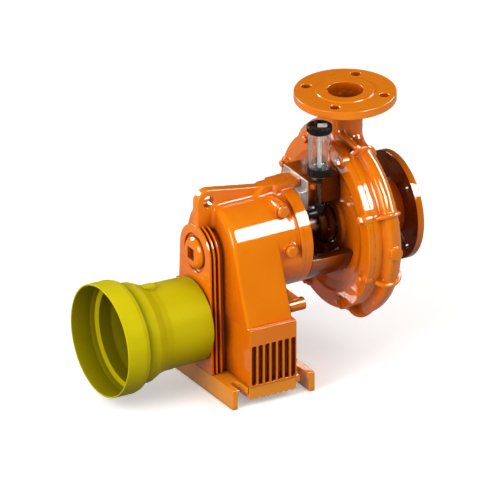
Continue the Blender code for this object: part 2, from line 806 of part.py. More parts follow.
def impeller_vane(start):
    """One backward-curved vane standing on the impeller's disc."""
    inner, outer = VANE_R
    left, right = [], []
    for step in range(VANE_STEPS + 1):
        t = step / VANE_STEPS
        radius = inner + (outer - inner) * t
        angle = math.radians(start + VANE_SWEEP * t)
        across = angle + math.radians(VANE_LEAN)
        y = radius * math.cos(angle)
        z = SHAFT_Z + radius * math.sin(angle)
        dy = VANE_T / 2 * math.cos(across)
        dz = VANE_T / 2 * math.sin(across)
        left.append((y + dy, z + dz))
        right.append((y - dy, z - dz))
    return extruded("vane", "X", VANE_X, left + right[::-1])


def make_impeller():
    back, disc, hub_foot, hub_end = IMPELLER_X
    profile = [
        (0.0, hub_end), (HUB_R, hub_end), (HUB_FOOT_R, hub_foot), (IMPELLER_R, disc), (IMPELLER_R, back), (0.0, back),
    ]
    impeller = turned("impeller", "X", ON_SHAFT, profile, 32)
    for index in range(VANES):
        join(impeller, impeller_vane(VANE_FIRST + 360 / VANES * index))
    part(impeller, "steel")
    part(cylinder("impeller_nut", "X", NUT_R, NUT_X, ON_SHAFT, 6), "steel")


def make_collar():
    """Ring that carries the guard; the front plate stands in its rear face."""
    collar = cylinder("drive_collar", "X", COLLAR_R, COLLAR_X, ON_DRIVE)
    outline = plate_outline(PLATE_R, PLATE_FOOT_HALF, HOUSING_BOTTOM, GAP)
    part(cut(collar, extruded("plate_room", "X", (-GAP, REACH), outline)), "orange_paint")


def make_drive_shaft():
    """Splined shaft with a locking groove near its end."""
    start = COLLAR_X[0] - GAP
    groove = DRIVE_GROOVE
    deep = DRIVE_R - groove
    profile = [
        (0.0, start), (DRIVE_R, start), (DRIVE_R, DRIVE_GROOVE_X + 2 * groove), (deep, DRIVE_GROOVE_X + groove),
        (deep, DRIVE_GROOVE_X - groove), (DRIVE_R, DRIVE_GROOVE_X - 2 * groove), (DRIVE_R, DRIVE_END + groove),
        (deep, DRIVE_END), (0.0, DRIVE_END),
    ]
    shaft = turned("drive_shaft", "X", ON_DRIVE, profile, 24)
    for index in range(SPLINES):
        across = (-SPLINE_HALF, SPLINE_HALF)
        key = box("spline", (-REACH, SPLINE_END), (DRIVE_R - SPLINE_DEPTH, REACH), across)
        key.data.transform(Matrix.Rotation(2 * math.pi * index / SPLINES, 4, "X"))
        key.data.transform(Matrix.Translation(ON_DRIVE))
        cut(shaft, key)
    part(shaft, "steel")


def make_guard():
    inner = [(radius - GUARD_T, along) for radius, along in reversed(GUARD_PROFILE)]
    shell = turned("drive_guard", "X", ON_DRIVE, list(GUARD_PROFILE) + inner, ring=True)
    part(shell, "guard_yellow")


def make_latch():
    """Catch on top of the guard, its foot cut to the guard's curve."""
    latch = box("guard_latch", LATCH_X, (-LATCH_HALF, LATCH_HALF), (DRIVE_Z + LATCH_FOOT, DRIVE_Z + LATCH_TOP))
    outer = [(radius + GAP, along) for radius, along in GUARD_PROFILE]
    room = turned("guard_room", "X", ON_DRIVE, [(0.0, outer[0][1])] + outer + [(0.0, outer[-1][1])])
    part(cut(latch, room), "guard_yellow")


def make_oil_plugs():
    filler = cylinder("oil_filler_plug", "Y", OIL_PLUG_R, FILLER_PLUG_Y, (OIL_PLUG_X, 0, FILLER_PLUG_Z), 20)
    cut(filler, cylinder("snout_room", "X", SNOUT_R + GAP, (0.0, REACH), ON_SHAFT, 64))
    part(filler, "orange_paint")
    level = cylinder("oil_level_plug", "Y", OIL_PLUG_R, LEVEL_PLUG_Y, (OIL_PLUG_X, 0, LEVEL_PLUG_Z), 20)
    part(level, "orange_paint")


def make_drain_stub():
    start, end = STUB_X
    stub = cylinder("drain_stub", "X", STUB_R, (start, end), (0, STUB_Y, STUB_Z), 20)
    low, high = (STUB_Z + height for height in GUSSET_HEIGHTS)
    outline = [(start, STUB_Z), (GUSSET_X, STUB_Z), (GUSSET_X, low), (start, high)]
    join(stub, extruded("gusset", "Y", (STUB_Y - GUSSET_HALF, STUB_Y + GUSSET_HALF), outline))
    part(stub, "orange_paint")


def make_oiler():
    """Constant-level oiler: elbow out of the bracket ring, pipe, nipple, cup, clear glass, rod and cap."""
    centre = (OILER_X, OILER_Y, 0)
    elbow = cylinder("oiler_elbow", "Z", ELBOW_R, (ELBOW_Z, ELBOW_TOP), centre, 16)
    leg_span = (BRACKET_RING_X[1] + GAP, ELBOW_LEG_END)
    join(elbow, cylinder("leg", "X", ELBOW_LEG_R, leg_span, (0, OILER_Y, ELBOW_Z), 16))
    part(elbow, "black_plastic")
    part(cylinder("oiler_pipe", "Z", PIPE_R, (ELBOW_TOP + GAP, NIPPLE_Z[0] - GAP), centre, 12), "steel")
    part(cylinder("oiler_nipple", "Z", NIPPLE_R, NIPPLE_Z, centre, 16), "black_plastic")
    part(cylinder("oiler_base", "Z", OILER_R, OILER_BASE_Z, centre, 24), "black_plastic")
    low = OILER_BASE_Z[1] + GAP
    high = OILER_GLASS_TOP
    bore = GLASS_R - GLASS_T
    glass = turned("oiler_glass", "Z", centre, [(bore, high), (GLASS_R, high), (GLASS_R, low), (bore, low)], 24, ring=True)
    part(glass, "clear_plastic")
    part(cylinder("oiler_rod", "Z", ROD_R, (low, high), centre, 12), "steel")
    part(cylinder("oiler_cap", "Z", OILER_R, (high + GAP, OILER_CAP_TOP), centre, 24), "black_plastic")


def set_origin():
    """Put the origin in the middle of the front foot's underside."""
    FRAME.location = (-(FRONT_FOOT_X + FOOT_LEG / 2), 0.0, 0.0)


clear_scene()
PARTS = new_collection("centrifugal_slurry_pump")
CUTTERS = new_collection("cutters")
MATERIALS = make_materials()
FRAME = bpy.data.objects.new("pump_frame", None)
PARTS.objects.link(FRAME)

make_housing()
make_front_plate()
make_shaft_plug()
make_web()
make_foot("front_foot", FRONT_FOOT_X, FRONT_FOOT_X + FOOT_LEG, FRONT_FOOT_END, FRONT_SLOT_X)
make_foot("rear_foot", REAR_FOOT_X, REAR_FOOT_X - FOOT_LEG, REAR_FOOT_END, REAR_SLOT_X)
make_sump()
make_ring("gearbox_flange", GEARBOX_RING_X)
make_ring("bracket_flange", BRACKET_RING_X)
make_top_arm()
make_lower_arm()
make_cover()
make_volute()
make_suction_cover()
make_flanges()
make_shaft_seal()
make_impeller()
make_collar()
make_drive_shaft()
make_guard()
make_latch()
make_oil_plugs()
make_drain_stub()
make_oiler()
set_origin()
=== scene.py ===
"""Looks of the centrifugal pump: finish, cast forms, bolts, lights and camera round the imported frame.

Places along X are measured from the front plate's outer face and moved into the frame's place by ZERO_X.
"""

import json
import math

import bmesh
import bpy
import numpy as np
from mathutils import Matrix, Vector


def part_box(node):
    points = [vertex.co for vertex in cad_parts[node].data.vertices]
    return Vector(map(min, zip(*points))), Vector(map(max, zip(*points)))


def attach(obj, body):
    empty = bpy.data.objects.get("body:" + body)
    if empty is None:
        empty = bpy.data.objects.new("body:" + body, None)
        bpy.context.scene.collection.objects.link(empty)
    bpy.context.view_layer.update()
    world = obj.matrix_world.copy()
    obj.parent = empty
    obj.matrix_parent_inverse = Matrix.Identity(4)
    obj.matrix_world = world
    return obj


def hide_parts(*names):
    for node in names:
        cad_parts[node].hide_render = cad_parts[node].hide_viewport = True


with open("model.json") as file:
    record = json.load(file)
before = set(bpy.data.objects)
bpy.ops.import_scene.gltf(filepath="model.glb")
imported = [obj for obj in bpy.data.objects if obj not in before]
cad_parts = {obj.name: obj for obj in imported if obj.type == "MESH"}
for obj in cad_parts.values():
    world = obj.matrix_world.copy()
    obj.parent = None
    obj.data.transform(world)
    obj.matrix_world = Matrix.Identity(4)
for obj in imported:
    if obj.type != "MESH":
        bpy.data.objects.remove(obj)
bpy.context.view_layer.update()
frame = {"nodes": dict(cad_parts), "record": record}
ZERO_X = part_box("front_plate")[0][0]
AXES = "XYZ"


def span(node, axis):
    """Lowest and highest place of a node along an axis."""
    low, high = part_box(node)
    index = AXES.index(axis)
    shift = ZERO_X if axis == "X" else 0.0
    return low[index] - shift, high[index] - shift


def beside(axis):
    """Numbers of the two other axes."""
    return [index for index in range(3) if AXES[index] != axis]


def middle(node, axis):
    return sum(span(node, axis)) / 2


def radius_of(node, axis):
    low, high = span(node, axis)
    return (high - low) / 2


# Driving places from the frame
SHAFT_Z = middle("bracket_flange", "Z")
DRIVE_Z = middle("drive_guard", "Z")
SCROLL_X = middle("discharge_flange", "X")
RING_R = radius_of("bracket_flange", "Z")
GEAR_RING_X = span("gearbox_flange", "X")
BRACKET_RING_X = span("bracket_flange", "X")
COVER_X = span("casing_cover", "X")
COVER_R = radius_of("casing_cover", "Z")
DISCHARGE_Z = span("discharge_flange", "Z")
DISCHARGE_R = radius_of("discharge_flange", "X")
SUCTION_X = span("suction_flange", "X")
SUCTION_R = radius_of("suction_flange", "Z")
OILER_X = middle("oiler_cap", "X")
OILER_Y = middle("oiler_cap", "Y")

ON_SHAFT = (0.0, 0.0, SHAFT_Z)
ON_DRIVE = (0.0, 0.0, DRIVE_Z)
ON_DISCHARGE = (SCROLL_X, 0.0, 0.0)
ON_OILER = (OILER_X, OILER_Y, 0.0)

# Fineness of the meshes
LARGE = 160
FULL = 128
MEDIUM = 96
SMALL = 32
NET_CELL = 0.0023
TINY = 1e-7
SMOOTH_ANGLE = math.radians(40)

AXIS_TURN = {
    "X": Matrix.Rotation(math.radians(90), 4, "Y"),
    "Y": Matrix.Rotation(math.radians(-90), 4, "X"),
    "Z": Matrix.Identity(4),
}


# Materials

class Nodes:
    """A material with its slot in the record, and short ways to add and join its nodes."""

    def __init__(self, name, slot=None):
        self.slot = slot
        self.material = bpy.data.materials.new(name)
        self.material.use_nodes = True
        self.tree = self.material.node_tree
        self.shader = self.tree.nodes["Principled BSDF"]
        self.place = self.add("ShaderNodeTexCoord").outputs["Object"]

    def add(self, kind, **settings):
        node = self.tree.nodes.new(kind)
        for key, value in settings.items():
            setattr(node, key, value)
        return node

    def join(self, source, target):
        self.tree.links.new(source, target)

    def noise(self, scale, detail=2.0, stretch=(1, 1, 1)):
        mapping = self.add("ShaderNodeMapping")
        mapping.inputs["Scale"].default_value = stretch
        self.join(self.place, mapping.inputs["Vector"])
        noise = self.add("ShaderNodeTexNoise")
        noise.inputs["Scale"].default_value = scale
        noise.inputs["Detail"].default_value = detail
        self.join(mapping.outputs[0], noise.inputs["Vector"])
        return noise.outputs["Fac"]

    def remap(self, value, low, high, start=0.3, end=0.7):
        node = self.add("ShaderNodeMapRange")
        self.join(value, node.inputs["Value"])
        for key, number in zip(("From Min", "From Max", "To Min", "To Max"), (start, end, low, high)):
            node.inputs[key].default_value = number
        return node.outputs[0]

    def tone(self, scale, detail=2.0, stretch=(1, 1, 1)):
        """Noise spread over 0 to 1."""
        return self.remap(self.noise(scale, detail, stretch), 0.0, 1.0)

    def blend(self, factor, first, second):
        """Mix two colours; each is a tuple or a socket."""
        node = self.add("ShaderNodeMix", data_type="RGBA")
        self.join(factor, node.inputs["Factor"])
        for key, colour in (("A", first), ("B", second)):
            socket = next(s for s in node.inputs if s.name == key and s.type == "RGBA")
            if isinstance(colour, tuple):
                socket.default_value = (*colour, 1.0)
            else:
                self.join(colour, socket)
        return next(s for s in node.outputs if s.type == "RGBA")

    def bump(self, layers):
        """Bump from (height, strength, distance) layers, one on the other."""
        normal = None
        for height, strength, distance in layers:
            node = self.add("ShaderNodeBump")
            node.inputs["Strength"].default_value = strength
            node.inputs["Distance"].default_value = distance
            self.join(height, node.inputs["Height"])
            if normal is not None:
                self.join(normal, node.inputs["Normal"])
            normal = node.outputs[0]
        self.join(normal, self.shader.inputs["Normal"])

    def shade_mask(self, distance, low, high, alone=False):
        """Mask for painted shade, from ambient occlusion: 1 in narrow places and 0 on open faces; alone
        leaves other pieces out.
        """
        shade = self.add("ShaderNodeAmbientOcclusion", samples=8, only_local=alone)
        shade.inputs["Distance"].default_value = distance
        return self.remap(shade.outputs["AO"], 1.0, 0.0, low, high)

    def along_x(self, source):
        parts = self.add("ShaderNodeSeparateXYZ")
        self.join(source, parts.inputs[0])
        return parts.outputs["X"]

    def inner_shade_mask(self, distance, low, high):
        """Mask for painted shade on the inner walls of a hollow piece: 1 there, 0 outside and on faces that
        look towards -X, which are left lit.
        """
        normal = self.add("ShaderNodeTexCoord").outputs["Normal"]
        node = self.add("ShaderNodeMath", operation="MULTIPLY")
        self.join(self.shade_mask(distance, low, high, True), node.inputs[0])
        self.join(self.remap(self.along_x(normal), 0.0, 1.0, -0.9, -0.4), node.inputs[1])
        return node.outputs[0]

    def before(self, x):
        """1 in front of a place along X and 0 behind it."""
        node = self.add("ShaderNodeMath", operation="LESS_THAN")
        self.join(self.along_x(self.place), node.inputs[0])
        node.inputs[1].default_value = x
        return node.outputs[0]

    def set(self, **values):
        for key, value in values.items():
            self.shader.inputs[key.replace("_", " ")].default_value = value

    def dress(self, colour, rough, layers, **values):
        """Join colour, roughness and bump, and set plain values; rough is (scale, detail, low, high)."""
        self.join(colour, self.shader.inputs["Base Color"])
        self.join(self.remap(self.noise(*rough[:2]), *rough[2:]), self.shader.inputs["Roughness"])
        self.bump(layers)
        self.set(**values)
        return self


def mix_shaders(tree, factor, first, second):
    """Mix the shaders of two nodes."""
    node = tree.nodes.new("ShaderNodeMixShader")
    for source, target in zip((factor, first.outputs[0], second.outputs[0]), node.inputs):
        tree.links.new(source, target)
    return node


PAINT_LIGHT = (0.85, 0.226, 0.003)
PAINT_DEEP = (0.79, 0.190, 0.002)
# Painted shade: redder and warmer colours for the half shade where other parts stand near.
PAINT_SHADE_RED = (0.78, 0.150, 0.001)
PAINT_SHADE_WARM = (0.78, 0.165, 0.001)
# Painted brightening: a pale colour that takes the half shade's place on the feet.
PAINT_LIFT_PALE = (0.88, 0.300, 0.012)
# Painted shade: the dark colour deep in corners.
PAINT_SHADE_CORNER = (0.19, 0.030, 0.003)
# Painted shade: a near-black colour for pieces that sit in shade.
PAINT_SHADE_DEEPEST = (0.075, 0.012, 0.001)
IRON_TONES = ((0.30, 0.27, 0.25), (0.55, 0.52, 0.49))


def paint(
    name, shade_reach, shade_from=0.15, shade_to=0.74, deepest_shade=PAINT_SHADE_CORNER, half_shade=PAINT_SHADE_RED,
    bare_before=None, coat=1.0,
):
    """Gloss enamel over cast iron: slow waves of the casting and fine orange peel, with painted shade: a
    redder half shade where other parts stand near and a darker colour in corners.

    In front of bare_before, a place along X, the iron is machined and only lacquered.
    """
    mat = Nodes(name, "orange_paint")
    colour = mat.blend(mat.tone(11.0, 3.0), PAINT_DEEP, PAINT_LIGHT)
    # Painted shade from ambient occlusion: a redder half shade where other parts stand near, then a darker
    # colour deep in corners.
    colour = mat.blend(mat.shade_mask(0.250, 0.50, 0.98), colour, half_shade)
    colour = mat.blend(mat.shade_mask(shade_reach, shade_from, shade_to), colour, deepest_shade)
    if bare_before is not None:
        bare = mat.before(bare_before)
        iron = mat.blend(mat.tone(700.0, 3.0, (1.0, 1.0, 0.03)), *IRON_TONES)
        colour = mat.blend(bare, colour, iron)
        mat.join(mat.remap(bare, 0.0, 0.35, 0.0, 1.0), mat.shader.inputs["Metallic"])
    layers = [(mat.noise(24.0, 1.0), 0.05, 0.0008), (mat.noise(420.0, 2.0), 0.05, 0.0002)]
    return mat.dress(
        colour, (38.0, 3.0, 0.24, 0.34), layers,
        Specular_IOR_Level=0.06, Coat_Weight=coat, Coat_Roughness=0.018, Coat_IOR=1.5,
    )


def guard_plastic(name, shade_reach):
    """Moulded plastic with a fine grain and faint flow streaks, painted shade in its corners and a darker
    painted shade on its inner walls.
    """
    mat = Nodes(name, "guard_yellow")
    colour = mat.blend(mat.tone(16.0, 3.0, (0.25, 1, 1)), (0.53, 0.445, 0.0015), (0.60, 0.500, 0.0025))
    # Painted shade in corners.
    colour = mat.blend(mat.shade_mask(shade_reach, 0.10, 0.95), colour, (0.26, 0.212, 0.001))
    # Darker painted shade on the inner walls.
    colour = mat.blend(mat.inner_shade_mask(0.150, 0.58, 1.0), colour, (0.060, 0.046, 0.0))
    layers = [(mat.noise(22.0, 1.0), 0.05, 0.001), (mat.noise(900.0, 2.0), 0.16, 0.0002)]
    return mat.dress(colour, (60.0, 2.0, 0.40, 0.52), layers, Specular_IOR_Level=0.06)


def moulding(name, dark, light, patches, rough, grain, specular):
    """Hard moulded plastic with a fine grain."""
    mat = Nodes(name, "black_plastic")
    colour = mat.blend(mat.tone(patches, 3.0), dark, light)
    layers = [(mat.noise(1300.0, 2.0), grain, 0.0001)]
    return mat.dress(colour, (140.0, 2.0, *rough), layers, Specular_IOR_Level=specular)


def clear_plastic():
    """Clear cup with faint moulding waves and a trace of haze."""
    mat = Nodes("clear_cup", "clear_plastic")
    colour = mat.blend(mat.tone(45.0), (0.97, 0.98, 0.98), (1.0, 1.0, 1.0))
    layers = [(mat.noise(60.0, 1.0), 0.04, 0.0005)]
    return mat.dress(
        colour, (120.0, 2.0, 0.015, 0.05), layers,
        Transmission_Weight=1.0, IOR=1.46, Coat_Weight=1.0, Coat_Roughness=0.015,
    )


def turned_steel(name, light, dark, stretch):
    """Machined steel with marks that run round the piece."""
    mat = Nodes(name, "steel")
    lines = mat.noise(900.0, 3.0, stretch)
    colour = mat.blend(mat.remap(lines, 0.0, 1.0), dark, light)
    return mat.dress(colour, (50.0, 3.0, 0.20, 0.38), [(lines, 0.18, 0.0001)], Metallic=1.0)


def cast_steel():
    """Bare casting of the impeller: grainy and dull."""
    mat = Nodes("bare_casting", "steel")
    colour = mat.blend(mat.tone(70.0, 4.0), (0.20, 0.19, 0.18), (0.36, 0.35, 0.33))
    layers = [(mat.noise(260.0, 3.0), 0.30, 0.0006)]
    return mat.dress(colour, (160.0, 3.0, 0.42, 0.62), layers, Metallic=0.9)


FLOOR_LIFT = 0.30
FLOOR_BOUNCE = 0.32
FLOOR_MIRRORED = 0.32


def floor_paint():
    """White studio floor that throws little light back at the pump."""
    mat = Nodes("studio_floor")
    colour = mat.blend(mat.tone(1.2), (0.90, 0.90, 0.90), (0.92, 0.92, 0.92))
    mat.join(colour, mat.shader.inputs["Base Color"])
    mat.set(Roughness=0.9, Specular_IOR_Level=0.1)
    mat.set(Emission_Color=(1, 1, 1, 1), Emission_Strength=FLOOR_LIFT)
    bounce = mat.add("ShaderNodeBsdfDiffuse")
    bounce.inputs["Color"].default_value = (FLOOR_BOUNCE, FLOOR_BOUNCE, FLOOR_BOUNCE, 1.0)
    mirrored = mat.add("ShaderNodeEmission")
    mirrored.inputs["Strength"].default_value = FLOOR_MIRRORED
    path = mat.add("ShaderNodeLightPath")
    inner = mix_shaders(mat.tree, path.outputs["Is Diffuse Ray"], mat.shader, bounce)
    outer = mix_shaders(mat.tree, path.outputs["Is Glossy Ray"], inner, mirrored)
    mat.join(outer.outputs[0], mat.tree.nodes["Material Output"].inputs["Surface"])
    return mat.material


ROUND_X = (1.0, 0.02, 0.02)
ROUND_Z = (0.02, 0.02, 1.0)
ARM_FACE_X = 0.2095
# Copies of one enamel that differ in painted shade: how far the corner shade reaches, how dark it gets and
# which colour fills the half shade.
PAINT = paint("orange_enamel", 0.110)
# Feet: painted light, pale paint where the half shade would fall, and corner shade only in tight corners.
FOOT_LIT_PAINT = paint("orange_enamel_feet_lit", 0.020, half_shade=PAINT_LIFT_PALE)
# Ribs: painted shade in the grooves with a warmer painted half shade.
RIB_PAINT = paint("orange_enamel_ribs", 0.045, 0.30, 0.80, half_shade=PAINT_SHADE_WARM)
# Fins: painted shade that reaches only the gaps between the fins.
FIN_PAINT = paint("orange_enamel_fins", 0.024, 0.02, 0.70)
# Shaded copies: near-black painted shade that reaches far, for pieces deep in the bracket and behind the
# volute; the arm's face in front of ARM_FACE_X is bare lacquered iron.
SHADED_PAINT = paint("orange_enamel_shaded", 0.240, 0.50, 1.0, PAINT_SHADE_DEEPEST)
ARM_SHADED_PAINT = paint(
    "orange_enamel_arm_shaded", 0.240, 0.50, 1.0, PAINT_SHADE_DEEPEST, bare_before=ZERO_X + ARM_FACE_X, coat=0.25,
)
# Guard plastic with far-reaching painted shade, and the latch's copy with painted shade only in tight
# corners.
YELLOW = guard_plastic("yellow_plastic", 0.200)
LATCH_YELLOW = guard_plastic("yellow_plastic_latch", 0.010)
BLACK = moulding("black_moulding", (0.003,) * 3, (0.008,) * 3, 80.0, (0.24, 0.40), 0.12, 0.2)
GREY = moulding("grey_moulding", (0.46, 0.45, 0.42), (0.62, 0.60, 0.56), 90.0, (0.35, 0.50), 0.10, 0.5)
CLEAR = clear_plastic()
STEEL = turned_steel("shaft_steel", (0.60, 0.59, 0.57), (0.40, 0.39, 0.38), ROUND_X)
ROD_STEEL = turned_steel("rod_steel", (0.66, 0.65, 0.62), (0.45, 0.44, 0.42), ROUND_Z)
PIPE_STEEL = turned_steel("pipe_steel", (0.20, 0.16, 0.13), (0.10, 0.08, 0.07), ROUND_Z)
CASTING = cast_steel()
SLOT_LOOKS = {look.slot: look for look in (PAINT, YELLOW, BLACK, CLEAR, STEEL)}


# Mesh helpers

def finish_piece(obj, name, look, node=None, bevel=0.0, segments=3):
    """Round the edges, settle the shading, put the piece in place, hang it on the root body and hide the
    node it stands in for.
    """
    if bevel:
        step = obj.modifiers.new("round", "BEVEL")
        step.width = bevel
        step.segments = segments
        step.limit_method = "ANGLE"
        step.angle_limit = math.radians(28)
        step.miter_outer = "MITER_ARC"
    settle(obj)
    obj.data.shade_smooth()
    obj.data.set_sharp_from_angle(angle=SMOOTH_ANGLE)
    weighted = obj.modifiers.new("normals", "WEIGHTED_NORMAL")
    weighted.keep_sharp = True
    weighted.weight = 90
    settle(obj)
    obj.data.transform(Matrix.Translation((ZERO_X, 0.0, 0.0)))
    obj.name = name
    obj.data.name = name
    obj.data.materials.clear()
    obj.data.materials.append(look.material)
    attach(obj, "root")
    if node:
        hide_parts(node)


def made_mesh(obj):
    """The object's mesh after its modifiers."""
    bpy.context.view_layer.update()
    graph = bpy.context.evaluated_depsgraph_get()
    result = obj.evaluated_get(graph)
    return bpy.data.meshes.new_from_object(result, preserve_all_data_layers=True, depsgraph=graph)


def settle(obj):
    """Apply the modifiers."""
    mesh = made_mesh(obj)
    obj.modifiers.clear()
    obj.data = mesh


def add_object(name, data):
    obj = bpy.data.objects.new(name, data)
    bpy.context.scene.collection.objects.link(obj)
    return obj


def to_object(shape, name="work"):
    bmesh.ops.recalc_face_normals(shape, faces=shape.faces)
    mesh = bpy.data.meshes.new(name)
    shape.to_mesh(mesh)
    shape.free()
    return add_object(name, mesh)


def cut(target, tool):
    """Take a tool's shape out of a target."""
    step = target.modifiers.new("cut", "BOOLEAN")
    step.operation = "DIFFERENCE"
    step.solver = "EXACT"
    step.object = tool
    settle(target)
    bpy.data.objects.remove(tool, do_unlink=True)


def gather(objects):
    """Several loose bodies as one object."""
    shape = bmesh.new()
    for obj in objects:
        shape.from_mesh(obj.data)
        bpy.data.objects.remove(obj, do_unlink=True)
    return to_object(shape)


def rounded(points, closed=False, steps=5):
    """An outline whose corners become arcs; a point is (a, b) or (a, b, radius)."""
    result = []
    count = len(points)
    for index, point in enumerate(points):
        place = Vector(point[:2])
        radius = point[2] if len(point) > 2 else 0.0
        at_end = not closed and index in (0, count - 1)
        if not radius or at_end:
            result.append(tuple(place))
            continue
        before = Vector(points[index - 1][:2]) - place
        after = Vector(points[(index + 1) % count][:2]) - place
        half = before.angle(after) / 2
        reach = min(radius / math.tan(half), 0.48 * before.length, 0.48 * after.length)
        radius = reach * math.tan(half)
        inward = (before.normalized() + after.normalized()).normalized()
        centre = place + inward * (radius / math.sin(half))
        first = place + before.normalized() * reach - centre
        last = place + after.normalized() * reach - centre
        sweep = first.angle_signed(last)
        for step in range(steps + 1):
            turn = Matrix.Rotation(-sweep * step / steps, 2)
            result.append(tuple(centre + turn @ first))
    return result


def turned(axis, centre, profile, segments=FULL, ring=False, ripple=None, steps=5):
    """A profile of (radius, place along the axis, corner's radius) turned round an axis.

    A ring's profile is a loop, and any other is closed on the axis. ripple is (count, depth, least radius)
    of grooves round the rim.
    """
    if not ring:
        first, last = profile[0][1], profile[-1][1]
        profile = list(dict.fromkeys([(0.0, first), *profile, (0.0, last)]))
    shape = bmesh.new()
    rows = []
    for radius, along in rounded(profile, ring, steps):
        if radius < TINY:
            rows.append([shape.verts.new((0.0, 0.0, along))])
            continue
        row = []
        for step in range(segments):
            angle = 2 * math.pi * step / segments
            reach = radius
            if ripple and radius > ripple[2]:
                reach -= ripple[1] * (0.5 + 0.5 * math.cos(ripple[0] * angle))
            row.append(shape.verts.new((reach * math.cos(angle), reach * math.sin(angle), along)))
        rows.append(row)
    pairs = list(zip(rows, rows[1:]))
    if ring:
        pairs.append((rows[-1], rows[0]))
    for upper, lower in pairs:
        for step in range(segments):
            after = (step + 1) % segments
            corners = [upper[step % len(upper)], upper[after % len(upper)]]
            corners += [lower[after % len(lower)], lower[step % len(lower)]]
            corners = list(dict.fromkeys(corners))
            if len(corners) > 2:
                shape.faces.new(corners)
    place = Vector(centre)
    place[AXES.index(axis)] = 0.0
    bmesh.ops.transform(shape, matrix=Matrix.Translation(place) @ AXIS_TURN[axis], verts=shape.verts)
    return to_object(shape)


def turned_piece(name, look, axis, centre, profile, node=None, slot=None, **form):
    finish_piece(turned(axis, centre, profile, **form), name, look, node)


def cylinder(axis, radius, ends, centre, edge, segments):
    low, high = ends
    return turned(axis, centre, [(radius, high, edge), (radius, low, edge)], segments, steps=3)


def skin(shape, first, second):
    """Faces between two loops of points."""
    for index in range(len(first)):
        after = (index + 1) % len(first)
        shape.faces.new((first[index], first[after], second[after], second[index]))


def prism(axis, ends, outline):
    """A flat outline pushed along an axis; its points are (y, z), (x, z) or (x, y)."""
    shape = bmesh.new()
    loops = []
    for along in ends:
        loop = []
        for point in outline:
            spot = list(point)
            spot.insert(AXES.index(axis), along)
            loop.append(shape.verts.new(spot))
        shape.faces.new(loop)
        loops.append(loop)
    skin(shape, *loops)
    return to_object(shape)


def rectangle(us, vs, radius=0.0, steps=5):
    """Outline from its spans along two axes, with round corners."""
    corners = [(us[0], vs[0]), (us[1], vs[0]), (us[1], vs[1]), (us[0], vs[1])]
    return rounded([(*corner, radius) for corner in corners], True, steps)


def arc(centre, radius, start, end, steps):
    points = []
    for step in range(steps + 1):
        angle = math.radians(start + (end - start) * step / steps)
        points.append((centre[0] + radius * math.cos(angle), centre[1] + radius * math.sin(angle)))
    return points


def tube(points, radius):
    """A round bar through a list of points."""
    curve = bpy.data.curves.new("tube", "CURVE")
    curve.dimensions = "3D"
    curve.bevel_depth = radius
    curve.bevel_resolution = 6
    curve.use_fill_caps = True
    line = curve.splines.new("POLY")
    line.points.add(len(points) - 1)
    for point, place in zip(line.points, points):
        point.co = (*place, 1.0)
    holder = add_object("tube", curve)
    shape = bmesh.new()
    shape.from_mesh(made_mesh(holder))
    bpy.data.objects.remove(holder, do_unlink=True)
    bmesh.ops.remove_doubles(shape, verts=shape.verts, dist=1e-5)
    return to_object(shape)


def from_node(node):
    """A loose copy of a node's solid, with its flat faces whole again."""
    shape = bmesh.new()
    shape.from_mesh(frame["nodes"][node].data)
    bmesh.ops.remove_doubles(shape, verts=shape.verts, dist=1e-6)
    bmesh.ops.dissolve_limit(shape, angle_limit=math.radians(0.6), verts=shape.verts, edges=shape.edges)
    bmesh.ops.translate(shape, vec=(-ZERO_X, 0.0, 0.0), verts=shape.verts)
    return to_object(shape)


# Cast forms as distance fields

def ramp(value, start, end):
    """Rise from 0 at start to 1 at end."""
    return np.clip((value - start) / (end - start), 0.0, 1.0)


def round_max(a, b, radius):
    """Overlap of two fields, with a round edge."""
    corner = np.hypot(np.maximum(a + radius, 0.0), np.maximum(b + radius, 0.0))
    return np.minimum(np.maximum(a, b), -radius) + corner


def soft_min(a, b, blend):
    """Union of two fields, with a fillet between them."""
    share = np.maximum(blend - np.abs(a - b), 0.0) / blend
    return np.minimum(a, b) - share * share * blend * 0.25


def polygon_field(u, v, outline):
    best = np.full(u.shape, np.inf)
    inside = np.zeros(u.shape, bool)
    count = len(outline)
    for index in range(count):
        a, b = outline[index]
        c, d = outline[(index + 1) % count]
        du, dv = c - a, d - b
        along = ramp((u - a) * du + (v - b) * dv, 0.0, du * du + dv * dv)
        best = np.minimum(best, (u - a - along * du) ** 2 + (v - b - along * dv) ** 2)
        if dv:
            inside ^= ((b > v) != (d > v)) & (u < a + (v - b) * du / dv)
    return np.where(inside, -1.0, 1.0) * np.sqrt(best)


def capsule_field(x, y, z, start, end, first_r, last_r):
    """A round bar from start to end whose radius changes on the way."""
    way = np.subtract(end, start)
    offset = (x - start[0], y - start[1], z - start[2])
    along = ramp(sum(o * w for o, w in zip(offset, way)), 0.0, np.dot(way, way))
    gap = np.sqrt(sum((o - along * w) ** 2 for o, w in zip(offset, way)))
    return gap - (first_r + (last_r - first_r) * along)


